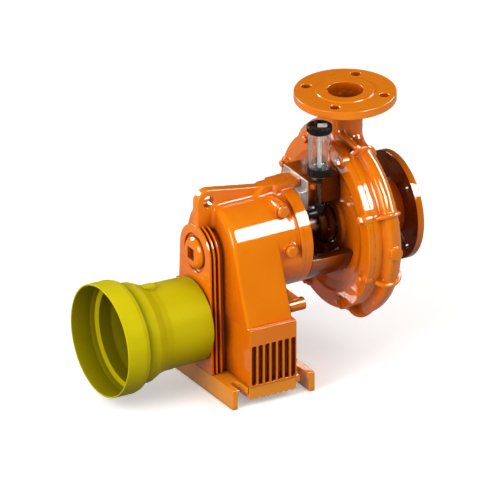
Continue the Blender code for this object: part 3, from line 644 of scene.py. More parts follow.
def surface_net(field, low, high, cell):
    """A closed mesh on the field's zero surface, its points pulled onto the surface."""
    low = np.array(low)
    counts = np.ceil((np.array(high) - low) / cell).astype(int) + 1
    ticks = [low[i] + cell * np.arange(counts[i]) for i in range(3)]
    xs, ys, zs = np.meshgrid(*ticks, indexing="ij")
    values = field(xs, ys, zs)
    inside = values < 0
    cells = counts - 1
    corners = [(i, j, k) for i in (0, 1) for j in (0, 1) for k in (0, 1)]

    def corner(grid, offset):
        return grid[tuple(slice(o, o + n) for o, n in zip(offset, cells))]

    filled = sum(corner(inside, offset).astype(np.int8) for offset in corners)
    mixed = (filled > 0) & (filled < 8)
    number = np.full(cells, -1)
    number[mixed] = np.arange(mixed.sum())
    total = np.zeros((mixed.sum(), 3))
    weight = np.zeros(mixed.sum())
    for start in corners:
        for axis in range(3):
            if start[axis]:
                continue
            end = tuple(s + (i == axis) for i, s in enumerate(start))
            a = corner(values, start)[mixed]
            b = corner(values, end)[mixed]
            crossed = (a < 0) != (b < 0)
            share = np.where(crossed, a / np.where(crossed, a - b, 1.0), 0.0)
            point = np.tile(np.array(start, float), (len(a), 1))
            point[:, axis] += share
            total[crossed] += point[crossed]
            weight[crossed] += 1
    base = np.argwhere(mixed)
    points = low + (base + total / weight[:, None]) * cell
    points = pull_to_surface(field, points, cell)
    quads = []
    for axis in range(3):
        side, up = [i for i in range(3) if i != axis]
        inner = [slice(1, n) for n in cells]
        inner[axis] = slice(0, cells[axis])
        ahead = list(inner)
        ahead[axis] = slice(1, cells[axis] + 1)
        crossed = inside[tuple(inner)] != inside[tuple(ahead)]
        rows = np.argwhere(crossed)
        rows[:, side] += 1
        rows[:, up] += 1
        loop = []
        for back, down in ((1, 1), (0, 1), (0, 0), (1, 0)):
            spot = rows.copy()
            spot[:, side] -= back
            spot[:, up] -= down
            loop.append(number[spot[:, 0], spot[:, 1], spot[:, 2]])
        quads.append(np.stack(loop, 1))
    mesh = bpy.data.meshes.new("net")
    mesh.from_pydata(points.tolist(), [], np.concatenate(quads).tolist())
    shape = bmesh.new()
    shape.from_mesh(mesh)
    return to_object(shape)


def pull_to_surface(field, points, cell):
    for _ in range(5):
        value = field(points[:, 0], points[:, 1], points[:, 2])
        slope = np.empty_like(points)
        step = cell * 0.02
        for axis in range(3):
            shifted = points.copy()
            shifted[:, axis] += step
            slope[:, axis] = (field(shifted[:, 0], shifted[:, 1], shifted[:, 2]) - value) / step
        size = np.maximum((slope ** 2).sum(1), 0.25)
        move = -slope * (value / size)[:, None]
        length = np.maximum(np.linalg.norm(move, axis=1), 1e-12)
        points = points + move * np.minimum(1.0, 0.4 * cell / length)[:, None]
    return points


# Gearbox casting

HOUSING_X = (0.034, 0.126)
DOME_R = 0.088
LEDGE_Z = 0.152
SLOPE_FOOT_Y = (-0.133, 0.118)
FRONT_EDGE_R = (0.0045, 0.0110)
FRONT_EDGE_Z = (0.255, 0.320)
REAR_EDGE_R = 0.003
LOW_SNOUT_R = 0.0945
LOW_SNOUT_Z = (0.232, 0.262)
WEB_TOP = span("lifting_web", "Z")[1]
WEB_REAR_TOP = 0.361
WEB_KNEE_X = 0.129
WEB_HALF = radius_of("lifting_web", "Y")
WEB_REAR_HALF = 0.0145
WEB_REAR_X = 0.2087
WEB_BLOCK_X = 0.153
WEB_BLOCK_HALF = 0.0215
WEB_CORNER_R = 0.024
WEB_FOOT_Z = SHAFT_Z + 0.043
WEB_FRONT_X = 0.0007
EYE = (0.0245, 0.355, 0.011)
OIL_RIB_X = 0.1590
OIL_RIB_ENDS = ((-0.0575, 0.327), (-0.0885, 0.262))
OIL_RIB_R = 0.0045
PLUG_X = middle("oil_filler_plug", "X")
FILLER_Z = middle("oil_filler_plug", "Z")
LEVEL_Z = middle("oil_level_plug", "Z")
PLUG_BOSSES = ((FILLER_Z, -0.0600, 0.0143), (LEVEL_Z, -0.0905, 0.0128))
PLATE_R = 0.053


def dome_field(y, z):
    """Cross-section of the housing: the dome's circle and the sloping sides below it."""
    circle = np.hypot(y, z - SHAFT_Z) - DOME_R
    corners = []
    for foot_y in SLOPE_FOOT_Y:
        reach = math.hypot(foot_y, LEDGE_Z - SHAFT_Z)
        lean = math.atan2(LEDGE_Z - SHAFT_Z, foot_y)
        turn = math.acos(DOME_R / reach)
        angle = lean + turn if foot_y > 0 else lean - turn
        corners.append((DOME_R * math.cos(angle), SHAFT_Z + DOME_R * math.sin(angle)))
    left, right = corners
    low = LEDGE_Z - 0.020
    sides = [left, (SLOPE_FOOT_Y[0], LEDGE_Z), (SLOPE_FOOT_Y[0], low), (SLOPE_FOOT_Y[1], low)]
    sides += [(SLOPE_FOOT_Y[1], LEDGE_Z), right]
    return np.minimum(circle, polygon_field(y, z, sides))


def web_field(x, y, z):
    """Lifting web with its eye, thicker behind a slanting crease."""
    inner_x = HOUSING_X[0] + 0.010
    outline = [
        (WEB_FRONT_X, WEB_FOOT_Z), (WEB_FRONT_X, WEB_TOP, WEB_CORNER_R), (WEB_KNEE_X, WEB_REAR_TOP, 0.02),
        (WEB_REAR_X, WEB_REAR_TOP), (WEB_REAR_X, SHAFT_Z), (inner_x, SHAFT_Z), (inner_x, WEB_FOOT_Z),
    ]
    side_view = polygon_field(x, z, rounded(outline, closed=True, steps=12))
    behind = (x - WEB_KNEE_X + WEB_REAR_TOP - z) / math.sqrt(2)
    half = WEB_HALF + (WEB_REAR_HALF - WEB_HALF) * ramp(behind, 0.0, 0.006)
    half = half + (WEB_BLOCK_HALF - WEB_REAR_HALF) * ramp(x, WEB_BLOCK_X, WEB_BLOCK_X + 0.004)
    web = round_max(side_view, np.abs(y) - half, 0.0022)
    eye = np.hypot(x - EYE[0], z - EYE[1]) - EYE[2]
    return round_max(web, -eye, 0.0018)


def gearbox_field(x, y, z):
    around = np.hypot(y, z - SHAFT_Z)
    edge_r = FRONT_EDGE_R[0] + (FRONT_EDGE_R[1] - FRONT_EDGE_R[0]) * ramp(z, *FRONT_EDGE_Z)
    housing = round_max(dome_field(y, z), HOUSING_X[0] - x, edge_r)
    housing = round_max(housing, x - HOUSING_X[1], REAR_EDGE_R)
    snout_end = x - GEAR_RING_X[0] + 0.001
    lower = 1 - ramp(z, *LOW_SNOUT_Z)
    swell = (LOW_SNOUT_R - DOME_R) * lower * lower * (3 - 2 * lower)
    snout = np.maximum(np.maximum(around - DOME_R - swell, snout_end), HOUSING_X[0] + 0.03 - x)
    upper, lower = OIL_RIB_ENDS
    rib = capsule_field(x, y, z, (OIL_RIB_X, *upper), (OIL_RIB_X, *lower), OIL_RIB_R, OIL_RIB_R)
    snout = soft_min(snout, np.maximum(rib, snout_end), 0.0015)
    for height, face, radius in PLUG_BOSSES:
        boss = round_max(np.hypot(x - PLUG_X, z - height) - radius, face - y, 0.0016)
        snout = soft_min(snout, np.maximum(boss, y), 0.0018)
    body = np.minimum(housing, snout)
    body = soft_min(body, web_field(x, y, z), 0.006)
    rings = np.maximum(GEAR_RING_X[0] + 0.0006 - x, x - BRACKET_RING_X[1] + 0.0006)
    rings = np.maximum(rings, around - RING_R + 0.0004)
    return soft_min(body, rings, 0.0045)


def make_gearbox():
    def above_foot(x, y, z):
        return np.maximum(gearbox_field(x, y, z), LEDGE_Z - 0.006 - z)

    low = (-0.004, -0.142, LEDGE_Z - 0.012)
    high = (WEB_REAR_X + 0.004, 0.127, WEB_TOP + 0.005)
    body = surface_net(above_foot, low, high, NET_CELL)
    finish_piece(body, "gearbox_casting", PAINT, "lifting_web")


FOOT_TOP = span("front_foot", "Z")[1]
RIB_BOX_X = (0.0342, 0.130)
RIB_BOX_Y = (-0.141, 0.126)
RIB_BOX_TOP = 0.151
GROOVES = 7
GROOVE_PITCH = 0.0135
GROOVE_WIDTH = 0.0092
GROOVE_DEPTH = 0.010
GROOVE_FIRST_X = 0.0425
GROOVE_Z = (0.0415, 0.118)
GROOVE_CORNER_R = 0.0025
PLATE_FOOT_HALF = 0.062
FIN_X = ((0.0098, 0.0134), (0.0192, 0.0228))
FIN_DEPTH = 0.012
FIN_EDGE = 0.0011


def make_ribbed_foot():
    """Lower part of the gearbox, with upright cooling grooves down both sides."""
    foot = prism("Z", (FOOT_TOP + 0.0003, RIB_BOX_TOP), rectangle(RIB_BOX_X, RIB_BOX_Y))
    tools = []
    for index in range(GROOVES):
        x = GROOVE_FIRST_X + index * GROOVE_PITCH
        outline = rectangle((x - GROOVE_WIDTH / 2, x + GROOVE_WIDTH / 2), GROOVE_Z, GROOVE_CORNER_R, 4)
        tools.append(prism("Y", (RIB_BOX_Y[0] - 0.01, RIB_BOX_Y[0] + GROOVE_DEPTH), outline))
        tools.append(prism("Y", (RIB_BOX_Y[1] - GROOVE_DEPTH, RIB_BOX_Y[1] + 0.01), outline))
    cut(foot, gather(tools))
    finish_piece(foot, "gearbox_ribbed_foot", RIB_PAINT, "gearbox_housing", 0.0008)


def tombstone(radius, half_foot, bottom):
    """Upright sides and a round top, with points spread all round."""
    foot = [(-half_foot + 2 * half_foot * step / 12, bottom) for step in range(12)]
    right = []
    for step in range(14):
        share = step / 14
        right.append((half_foot + (radius - half_foot) * share, bottom + (SHAFT_Z - bottom) * share))
    left = [(-a, b) for a, b in reversed(right)]
    return foot + right + arc((0.0, SHAFT_Z), radius, 0, 180, 48)[:-1] + [(-radius, SHAFT_Z)] + left[:-1]


def make_fins():
    """Two thin fins on a narrower core, behind the front plate."""
    bottom = FOOT_TOP + 0.0005
    core = tombstone(PLATE_R - FIN_DEPTH, PLATE_FOOT_HALF - FIN_DEPTH, bottom)
    finish_piece(prism("X", (PLATE_T + 0.0003, HOUSING_X[0] + 0.003), core), "fin_core", FIN_PAINT)
    for index, ends in enumerate(FIN_X):
        fin = prism("X", ends, tombstone(PLATE_R, PLATE_FOOT_HALF, bottom))
        finish_piece(fin, f"cooling_fin_{index + 1}", FIN_PAINT, bevel=FIN_EDGE)


PLATE_T = 0.005
RECESS_R = 0.037


def make_front_plate():
    """Plate with a round recess, made of four loops: outline and recess edge, front and back."""
    outline = tombstone(PLATE_R, PLATE_FOOT_HALF, FOOT_TOP + 0.0003)
    centre = Vector((0.0, SHAFT_Z))
    shape = bmesh.new()
    loops = []
    for recess, x in ((False, 0.0), (True, 0.0), (True, PLATE_T), (False, PLATE_T)):
        loop = []
        for point in outline:
            spot = Vector(point)
            if recess:
                spot = centre + (spot - centre).normalized() * RECESS_R
            loop.append(shape.verts.new((x, spot.x, spot.y)))
        loops.append(loop)
    for first, second in zip(loops, loops[1:] + loops[:1]):
        skin(shape, first, second)
    finish_piece(to_object(shape), "front_plate_look", FIN_PAINT, "front_plate", 0.0012)


SOCKET_HALF = 0.0112


def make_shaft_plug():
    """Domed plug with a square socket, sunk in the front plate's round recess."""
    profile = [
        (0.0305, PLATE_T), (0.0305, -0.0008, 0.005), (0.0240, -0.0078, 0.012), (0.0130, -0.0080, 0.004),
        (0.0, -0.0074),
    ]
    plug = turned("X", ON_SHAFT, profile, steps=8)
    sides = (-SOCKET_HALF, SOCKET_HALF)
    heights = (SHAFT_Z - SOCKET_HALF, SHAFT_Z + SOCKET_HALF)
    cut(plug, prism("X", (-0.02, 0.0030), rectangle(sides, heights, 0.001)))
    finish_piece(plug, "shaft_plug_look", PAINT, "shaft_plug", 0.0006, 2)


RING_EDGE = 0.0012
RING_SEAM = 0.0004


def make_rings():
    """The two rings, with round outer edges and a fine seam between them."""
    for node, ends, edges in (
        ("gearbox_flange", GEAR_RING_X, (RING_EDGE, RING_SEAM)),
        ("bracket_flange", BRACKET_RING_X, (RING_SEAM, RING_EDGE)),
    ):
        low, high = ends
        profile = [(0.030, high), (RING_R, high, edges[1]), (RING_R, low, edges[0]), (0.030, low)]
        turned_piece(node + "_look", PAINT, "X", ON_SHAFT, profile, node, ring=True, steps=3)


PLUG_R = 0.0114


def make_oil_plugs():
    """Screwed plugs: sealing washer, body and domed end."""
    for name, height, base, end in (
        ("filler_plug", FILLER_Z, -0.0598, -0.0705), ("level_plug", LEVEL_Z, -0.0903, -0.1010),
    ):
        profile = [
            (0.0132, base), (0.0132, base - 0.0016, 0.0004), (0.0098, base - 0.0018),
            (0.0100, base - 0.0024, 0.0004), (PLUG_R, base - 0.0026, 0.0006),
            (PLUG_R, end + 0.0002, 0.0090), (0.0, end),
        ]
        place = (PLUG_X, 0.0, height)
        turned_piece(name + "_look", PAINT, "Y", place, profile, "oil_" + name, segments=48, steps=6)


# Guard over the drive shaft

GUARD_T = 0.0028
GUARD_X = span("drive_guard", "X")
GUARD_END_X = -0.0042
MOUTH_LIP_R = 0.1050
GUARD_SHAPE = (
    (0.0775, GUARD_END_X), (0.0797, -0.088, 0.030), (0.0835, -0.1025, 0.020), (0.0925, -0.1215, 0.012),
    (0.0938, -0.1455, 0.0016), (0.1022, -0.1490, 0.003), (0.1049, -0.1580, 0.006),
    (MOUTH_LIP_R, GUARD_X[0], 0.0009),
)


def make_guard():
    outer = rounded(GUARD_SHAPE, steps=7)
    inner = rounded([(point[0] - GUARD_T, *point[1:]) for point in reversed(GUARD_SHAPE)], steps=7)
    rim = [(radius, GUARD_X[0], 0.0012) for radius in (MOUTH_LIP_R, MOUTH_LIP_R - GUARD_T)]
    lip = rounded([outer[-2], *rim, inner[1]], steps=4)
    shell = turned("X", ON_DRIVE, outer[:-1] + lip[1:-1] + inner[1:], LARGE, ring=True)
    finish_piece(shell, "drive_guard_look", YELLOW, "drive_guard")


# Casing cover with its bosses and bolts

BOLT_CIRCLE = 0.1505
BOLT_FIRST = 22.5
BOLT_PITCH = 45
BOLTS = 8
BOSS_R = 0.0125
BOSS_FACE_X = 0.2660


def round_the_shaft(radius, degrees):
    """Place at an angle from the top towards -Y, round the pump shaft."""
    turn = math.radians(degrees)
    return (0.0, -radius * math.sin(turn), SHAFT_Z + radius * math.cos(turn))


def bolt(axis, centre, face, way, size):
    """Flanged hexagon bolt head standing on a face; way is -1 or 1 along the axis."""
    rise = way * size
    flange = [
        (size * 0.98, face), (size * 0.98, face + rise * 0.12, size * 0.06),
        (size * 0.72, face + rise * 0.20),
    ]
    washer = turned(axis, centre, flange, SMALL, steps=3)
    hexagon = arc([centre[index] for index in beside(axis)], size * 0.78, 0, 300, 5)
    head = prism(axis, sorted((face + rise * 0.1, face + rise * 0.75)), hexagon)
    crown = [
        (0.0, face + rise * 0.90), (size * 0.50, face + rise * 0.88, size * 0.1),
        (size * 0.69, face + rise * 0.72), (size * 0.60, face + rise * 0.3),
    ]
    return gather([washer, head, turned(axis, centre, crown, SMALL, steps=3)])


def bolt_ring(name, look, count, circle, first, face, way, size, edge=0.0004):
    """Bolt heads evenly spread round the pump shaft, from a first angle on."""
    heads = []
    for index in range(count):
        place = round_the_shaft(circle, first + 360 / count * index)
        heads.append(bolt("X", place, face, way, size))
    finish_piece(gather(heads), name, look, None, edge, 2)


def make_cover():
    """Dished cover with a boss under each bolt."""
    front, back = COVER_X
    floor = front + 0.008
    profile = [
        (0.030, back), (COVER_R, back), (COVER_R, front, 0.0022), (0.1315, front, 0.002),
        (0.1265, front + 0.0025, 0.002), (0.112, floor, 0.010), (0.060, floor, 0.004),
        (0.055, floor - 0.004, 0.002), (0.040, floor - 0.004, 0.002), (0.037, floor, 0.001), (0.030, floor),
    ]
    bodies = [turned("X", ON_SHAFT, profile, LARGE, ring=True)]
    boss = [
        (BOSS_R + 0.0010, back - 0.0005), (BOSS_R, front - 0.0005, 0.004),
        (BOSS_R - 0.0015, BOSS_FACE_X, 0.002),
    ]
    for index in range(BOLTS):
        place = round_the_shaft(BOLT_CIRCLE, BOLT_FIRST + BOLT_PITCH * index)
        bodies.append(turned("X", place, boss, 40, steps=4))
    finish_piece(gather(bodies), "casing_cover_look", PAINT, "casing_cover")
    bolt_ring("cover_bolts", PAINT, BOLTS, BOLT_CIRCLE, BOLT_FIRST, BOSS_FACE_X, -1, 0.0095)


# Volute casting

SCROLL_R = 0.148
SCROLL_SHIFT = (0.005, -0.004)
FAR_SIDE_PULL = 0.0019
SCROLL_FIRST = 5.0
SCROLL_LAST = 320.0
TUBE_START_R = 0.027
TUBE_GROWTH = 0.0000242
NEAR_SIDE_SQUEEZE = 2.3
BEAD_SQUEEZE = 1.2
BEAD_R = 0.0045
BEAD_ROOT = 0.018
CASING_X = (COVER_X[1] + 0.0003, 0.3010)
RIM_TILT = math.radians(17)
RIM_SLOPE_X = 0.2905
CHAMBER_R = 0.127
CHAMBER_END = 0.3335
SUCTION_SEAT_R = 0.0983
WALL = 0.007
RIB_RISE = 0.0060
FAR_RIB_RISE = 0.0036
BEAD_START_X = 0.287
NECK_TOP_R = 0.041
NECK_WAIST = (0.029, 0.440)
NECK_FOOT = (0.040, 0.385)
MOUTH_R = 0.0325
THROAT_R = 0.022
THROAT_PULL = 0.055
THROAT_AIM_Z = 0.420
THROAT_END_Z = 0.452
NECK_STRUT = ((0.290, -0.0235, 0.4350), (0.300, -0.060, 0.4190), 0.0060, 0.0064)
SCROLL_BOSS = (0.3175, -0.1765, 0.250, 0.0125)


def tube_radius(degrees):
    return TUBE_START_R + TUBE_GROWTH * degrees


def scroll_place(degrees):
    turn = math.radians(degrees)
    y = SCROLL_SHIFT[0] - SCROLL_R * math.sin(turn)
    z = SHAFT_Z + SCROLL_SHIFT[1] + SCROLL_R * math.cos(turn)
    return Vector((SCROLL_X, y, z))


def throat_steps(count):
    """Places and radii from the scroll's end up into the neck."""
    turn = math.radians(SCROLL_LAST)
    heading = Vector((0.0, -math.cos(turn), -math.sin(turn)))
    start = scroll_place(SCROLL_LAST)
    neck = [Vector((SCROLL_X, 0, height)) for height in (THROAT_AIM_Z, THROAT_END_Z)]
    corners = (start, start + heading * THROAT_PULL, *neck)
    result = []
    wide = tube_radius(SCROLL_LAST)
    for step in range(count + 1):
        t = step / count
        rest = 1 - t
        weights = (rest ** 3, 3 * rest * rest * t, 3 * rest * t * t, t ** 3)
        place = sum((corner * weight for corner, weight in zip(corners, weights)), Vector())
        result.append((place, wide + (NECK_WAIST[0] - 0.001 - wide) * t))
    return result


def round_scroll(y, z):
    """Offsets from the scroll's middle, and the angle from the top towards -Y."""
    dy = y - SCROLL_SHIFT[0]
    dz = z - SHAFT_Z - SCROLL_SHIFT[1]
    return dy, dz, np.degrees(np.arctan2(-dy, dz)) % 360.0


def scroll_field(x, y, z, shrink):
    """Tube that grows round the casing and runs on into the neck."""
    dy, dz, degrees = round_scroll(y, z)
    degrees = np.where(degrees > 340.0, SCROLL_FIRST, degrees)
    degrees = np.clip(degrees, SCROLL_FIRST, SCROLL_LAST)
    turn = np.radians(degrees)
    ring_r = SCROLL_R - FAR_SIDE_PULL * np.clip(-np.sin(turn), 0.0, 1.0)
    cy = -ring_r * np.sin(turn)
    cz = ring_r * np.cos(turn)
    aside = (x - SCROLL_X) * np.where(x < SCROLL_X, NEAR_SIDE_SQUEEZE, 1.0)
    gap = np.sqrt(aside ** 2 + (dy - cy) ** 2 + (dz - cz) ** 2)
    field = gap - (tube_radius(degrees) - shrink)
    places = throat_steps(8)
    for (start, first_r), (end, last_r) in zip(places, places[1:]):
        bar = capsule_field(x, y, z, start, end, first_r - shrink, last_r - shrink)
        field = soft_min(field, bar, 0.006)
    return field


def rib_field(x, y, z):
    """Raised rings round the scroll."""
    dy, dz, degrees = round_scroll(y, z)
    around = np.hypot(dy, dz)
    nearest = np.clip(np.round((degrees - BOLT_FIRST) / BOLT_PITCH), 0, BOLTS - 1) * BOLT_PITCH + BOLT_FIRST
    along = around * np.radians(degrees - nearest)
    aside = (x - SCROLL_X) * np.where(x < SCROLL_X, BEAD_SQUEEZE, 1.0)
    off = np.hypot(around - SCROLL_R, aside) - tube_radius(nearest)
    rise = np.where(dy > 0, FAR_RIB_RISE, RIB_RISE)
    core = np.hypot(along, off - rise + BEAD_R) - BEAD_R
    wall = np.maximum(np.abs(along) - BEAD_R, np.maximum(off - rise + BEAD_R, -BEAD_ROOT - off))
    return np.maximum(np.minimum(core, wall), BEAD_START_X - x)


def neck_radius(z):
    """Neck with a waist between the flange and the scroll."""
    waist_r, waist_z = NECK_WAIST
    foot_r, foot_z = NECK_FOOT
    above = ramp(z, waist_z, DISCHARGE_Z[0])
    below = ramp(z, waist_z, foot_z)
    return waist_r + (NECK_TOP_R - waist_r) * above ** 1.6 + (foot_r - waist_r) * below ** 1.8


def volute_field(x, y, z):
    around = np.hypot(y, z - SHAFT_Z)
    slope = (around - COVER_R) * math.cos(RIM_TILT) + (x - RIM_SLOPE_X) * math.sin(RIM_TILT)
    rim = round_max(np.maximum(around - COVER_R, slope), x - CASING_X[1], 0.002)
    chamber = round_max(around - CHAMBER_R, x - CHAMBER_END, 0.012)
    body = soft_min(rim, chamber, 0.008)
    body = soft_min(body, scroll_field(x, y, z, 0.0), 0.005)
    body = soft_min(body, rib_field(x, y, z), 0.0014)
    from_neck = np.hypot(x - SCROLL_X, y)
    neck = from_neck - neck_radius(z)
    neck = np.maximum(np.maximum(neck, z - DISCHARGE_Z[0] - 0.001), NECK_FOOT[1] - z)
    body = soft_min(body, neck, 0.010)
    flange = np.maximum(from_neck - DISCHARGE_R + 0.004, np.abs(z - DISCHARGE_Z[0] - 0.004) - 0.0035)
    body = soft_min(body, flange, 0.006)
    body = soft_min(body, capsule_field(x, y, z, *NECK_STRUT), 0.002)
    bx, by, bz, br = SCROLL_BOSS
    boss = round_max(np.hypot(x - bx, z - bz) - br, by - y, 0.0016)
    body = soft_min(body, np.maximum(boss, y + 0.15), 0.003)
    body = np.maximum(body, CASING_X[0] - x)
    inside = scroll_field(x, y, z, WALL)
    hollow = np.maximum(around - CHAMBER_R + WALL, x - CHAMBER_END + 0.005)
    inside = soft_min(inside, hollow, 0.004)
    inside = np.minimum(inside, np.maximum(around - SUCTION_SEAT_R, 0.32 - x))
    throat = np.maximum(from_neck - THROAT_R, 0.43 - z)
    waist_z = NECK_WAIST[1]
    opening = ramp(z, waist_z, DISCHARGE_Z[0])
    mouth = np.maximum(from_neck - THROAT_R - (MOUTH_R - THROAT_R) * opening, waist_z - z)
    inside = np.minimum(inside, np.minimum(throat, mouth))
    return np.maximum(body, -inside)


def make_volute():
    low = (CASING_X[0] - 0.004, -0.190, SHAFT_Z - 0.195)
    high = (0.356, 0.195, DISCHARGE_Z[0] + 0.013)
    body = surface_net(volute_field, low, high, NET_CELL)
    finish_piece(body, "volute_casting", PAINT, "volute_casing")


# Pipe flanges and the suction cover

BOLT_HOLE_R = 0.009
HOLE_FLARE = 0.011
RAISED = 0.002


def drilled_flange(node, axis, centre, ends, radii, look):
    """Flange with a raised face and four drilled holes; radii are rim, raised face, bolt circle, bore."""
    rim, raised, circle, bore = radii
    near, face = ends
    seat = face - RAISED
    wide = BOLT_HOLE_R + HOLE_FLARE
    profile = [
        (bore, face, 0.0014), (raised, face, 0.0016), (raised + 0.0012, seat, 0.0012), (rim, seat, 0.0016),
        (rim, near, 0.0016), (bore, near),
    ]
    drill = [
        (wide, face + 0.01), (BOLT_HOLE_R, seat - 0.001), (BOLT_HOLE_R, near + 0.001), (wide, near - 0.01),
    ]
    flange = turned(axis, centre, profile, LARGE, ring=True, steps=4)
    first, second = beside(axis)
    tools = []
    for index in range(4):
        angle = math.radians(45 + 90 * index)
        place = list(centre)
        place[first] += circle * math.cos(angle)
        place[second] += circle * math.sin(angle)
        tools.append(turned(axis, place, drill, 48))
    cut(flange, gather(tools))
    finish_piece(flange, node + "_look", look, node)


def make_flanges():
    radii = (DISCHARGE_R, 0.0525, 0.0725, 0.0325)
    drilled_flange("discharge_flange", "Z", ON_DISCHARGE, DISCHARGE_Z, radii, PAINT)
    radii = (SUCTION_R, 0.069, 0.080, 0.040)
    drilled_flange("suction_flange", "X", ON_SHAFT, SUCTION_X, radii, SHADED_PAINT)


def make_suction_cover():
    seat, neck_end, back = span("suction_cover", "X")[0], SUCTION_X[0] + 0.001, 0.340
    profile = [
        (0.040, neck_end), (0.052, neck_end), (0.052, back + 0.022, 0.010), (0.060, back + 0.010, 0.010),
        (0.082, back, 0.004), (0.098, back - 0.0025, 0.0012), (0.098, seat), (0.040, seat),
    ]
    turned_piece("suction_cover_look", PAINT, "X", ON_SHAFT, profile, "suction_cover", ring=True)
    bolt_ring("suction_cover_bolts", PAINT, 6, 0.0895, 15, back - 0.0018, 1, 0.0062)


# Seal

SEAL_BORE_R = 0.0203


def make_seal():
    gland = [
        (SEAL_BORE_R, 0.2687), (0.040, 0.2687), (0.040, 0.2590, 0.0012), (0.0315, 0.2570, 0.0015),
        (0.030, 0.2450, 0.001), (SEAL_BORE_R, 0.2450),
    ]
    flinger = [
        (SEAL_BORE_R, 0.212), (0.046, 0.212, 0.0006), (0.046, 0.2095, 0.0006), (0.028, 0.207, 0.002),
        (0.027, 0.204, 0.001), (SEAL_BORE_R, 0.204),
    ]
    for name, look, profile, node in (
        ("gland_look", SHADED_PAINT, gland, "gland_follower"),
        ("flinger_look", BLACK, flinger, "flinger_ring"),
    ):
        turned_piece(name, look, "X", ON_SHAFT, profile, node, segments=MEDIUM, ring=True)
    bolt_ring("gland_bolts", STEEL, 3, 0.0345, 90, 0.2585, -1, 0.0045, 0.0003)


# Oiler

OILER_BASE_Z = (0.3832, 0.4000)
OILER_SEAT_Z = OILER_BASE_Z[0] - 0.0036
GLASS_Z = (OILER_BASE_Z[1] - 0.0035, span("oiler_glass", "Z")[1])
CAP_TOP = span("oiler_cap", "Z")[1]
BASE_RIBS = 36
CAP_RIBS = 42
THREAD_PITCH = 0.0016
LEVER_TURN = math.radians(-28)
ELBOW_Z = 0.308
ELBOW_BEND = 0.010


def oiler_piece(name, look, profile, node=None, segments=SMALL, steps=3, **form):
    turned_piece(name, look, "Z", ON_OILER, profile, node, segments=segments, steps=steps, **form)


def make_oiler():
    """Ribbed base and cap with the glass and a threaded rod between them."""
    low, high = OILER_BASE_Z
    base = [
        (0.0204, high - 0.004), (0.0204, high, 0.0005), (0.0230, high, 0.0008), (0.0228, low + 0.002, 0.001),
        (0.0185, low, 0.001),
    ]
    ribs = (BASE_RIBS, 0.0009, 0.0215)
    oiler_piece("oiler_base_look", BLACK, base, "oiler_base", 4 * BASE_RIBS, ripple=ribs)
    seat = [(0.0172, low + 0.0002), (0.0172, low - 0.0012, 0.0004), (0.0075, OILER_SEAT_Z, 0.001)]
    oiler_piece("oiler_seat", ROD_STEEL, seat, segments=64)
    low, high = GLASS_Z
    cap = [
        (0.0165, CAP_TOP - 0.0028, 0.0005), (0.0170, CAP_TOP - 0.0002, 0.0006), (0.0212, CAP_TOP, 0.0012),
        (0.0232, CAP_TOP - 0.0012, 0.0008), (0.0232, high + 0.0010, 0.0008), (0.0206, high - 0.0018, 0.0006),
    ]
    ribs = (CAP_RIBS, 0.0007, 0.0222)
    oiler_piece("oiler_cap_look", BLACK, cap, "oiler_cap", 4 * CAP_RIBS, 4, ripple=ribs)
    glass = [(0.0165, high), (0.0200, high), (0.0200, low), (0.0165, low)]
    oiler_piece("oiler_glass_look", CLEAR, glass, "oiler_glass", segments=MEDIUM, ring=True)
    rod = []
    for index in range(int((high - low - 0.002) / THREAD_PITCH)):
        z = high - 0.001 - index * THREAD_PITCH
        for radius, share in ((0.0038, 0.0), (0.0038, 0.35), (0.0031, 0.5), (0.0031, 0.85)):
            rod.append((radius, z - THREAD_PITCH * share))
    rod.append((0.0, low))
    oiler_piece("oiler_rod_look", GREY, rod, "oiler_rod", slot="steel")


def make_oiler_lever():
    """Adjusting hub and tilting lever in the cap."""
    oiler_piece("oiler_hub", BLACK, [(0.0042, CAP_TOP - 0.0004, 0.0008), (0.0042, CAP_TOP - 0.003)])
    outline = []
    for corner in rectangle((-0.0035, 0.0140), (-0.0064, 0.0064), 0.002, 4):
        spot = Matrix.Rotation(LEVER_TURN, 2) @ Vector(corner)
        outline.append((OILER_X + spot.x, OILER_Y + spot.y))
    lever = prism("Z", (CAP_TOP - 0.0024, CAP_TOP - 0.0001), outline)
    finish_piece(lever, "oiler_lever", GREY, None, 0.0006, 2)


def make_oiler_pipe():
    """Nipple, pipe and elbow between the bracket's ring and the oiler."""
    nipple = [
        (0.0062, OILER_SEAT_Z, 0.0005), (0.0064, 0.3735, 0.0008), (0.0050, 0.3715, 0.0006),
        (0.0052, 0.3665, 0.0006), (0.0, 0.3662),
    ]
    oiler_piece("oiler_nipple_look", BLACK, nipple, "oiler_nipple")
    oiler_piece("oiler_pipe_look", PIPE_STEEL, [(0.0044, 0.368), (0.0044, 0.3195)], "oiler_pipe")
    ring_x = BRACKET_RING_X[1]
    bend = [(ring_x - 0.001, OILER_Y, ELBOW_Z)]
    for x, z in arc((OILER_X - ELBOW_BEND, ELBOW_Z + ELBOW_BEND), ELBOW_BEND, -90, 0, 8):
        bend.append((x, OILER_Y, z))
    bend.append((OILER_X, OILER_Y, 0.3235))
    collar = cylinder("Z", 0.0095, (0.3185, 0.3255), ON_OILER, 0.0008, SMALL)
    leg = cylinder("X", 0.0098, (ring_x + 0.0004, ring_x + 0.0085), (0.0, OILER_Y, ELBOW_Z), 0.0008, 6)
    finish_piece(gather([tube(bend, 0.0078), collar, leg]), "oiler_elbow_look", BLACK, "oiler_elbow")


# Solids that only need rounded edges, the collar and the arm's bolt

COLLAR_SEAT_X = -0.0012
COLLAR_END_X = -0.0101
COLLAR_R = 0.0745
ARM_BOLT = (0.2204, 0.0, 0.355)


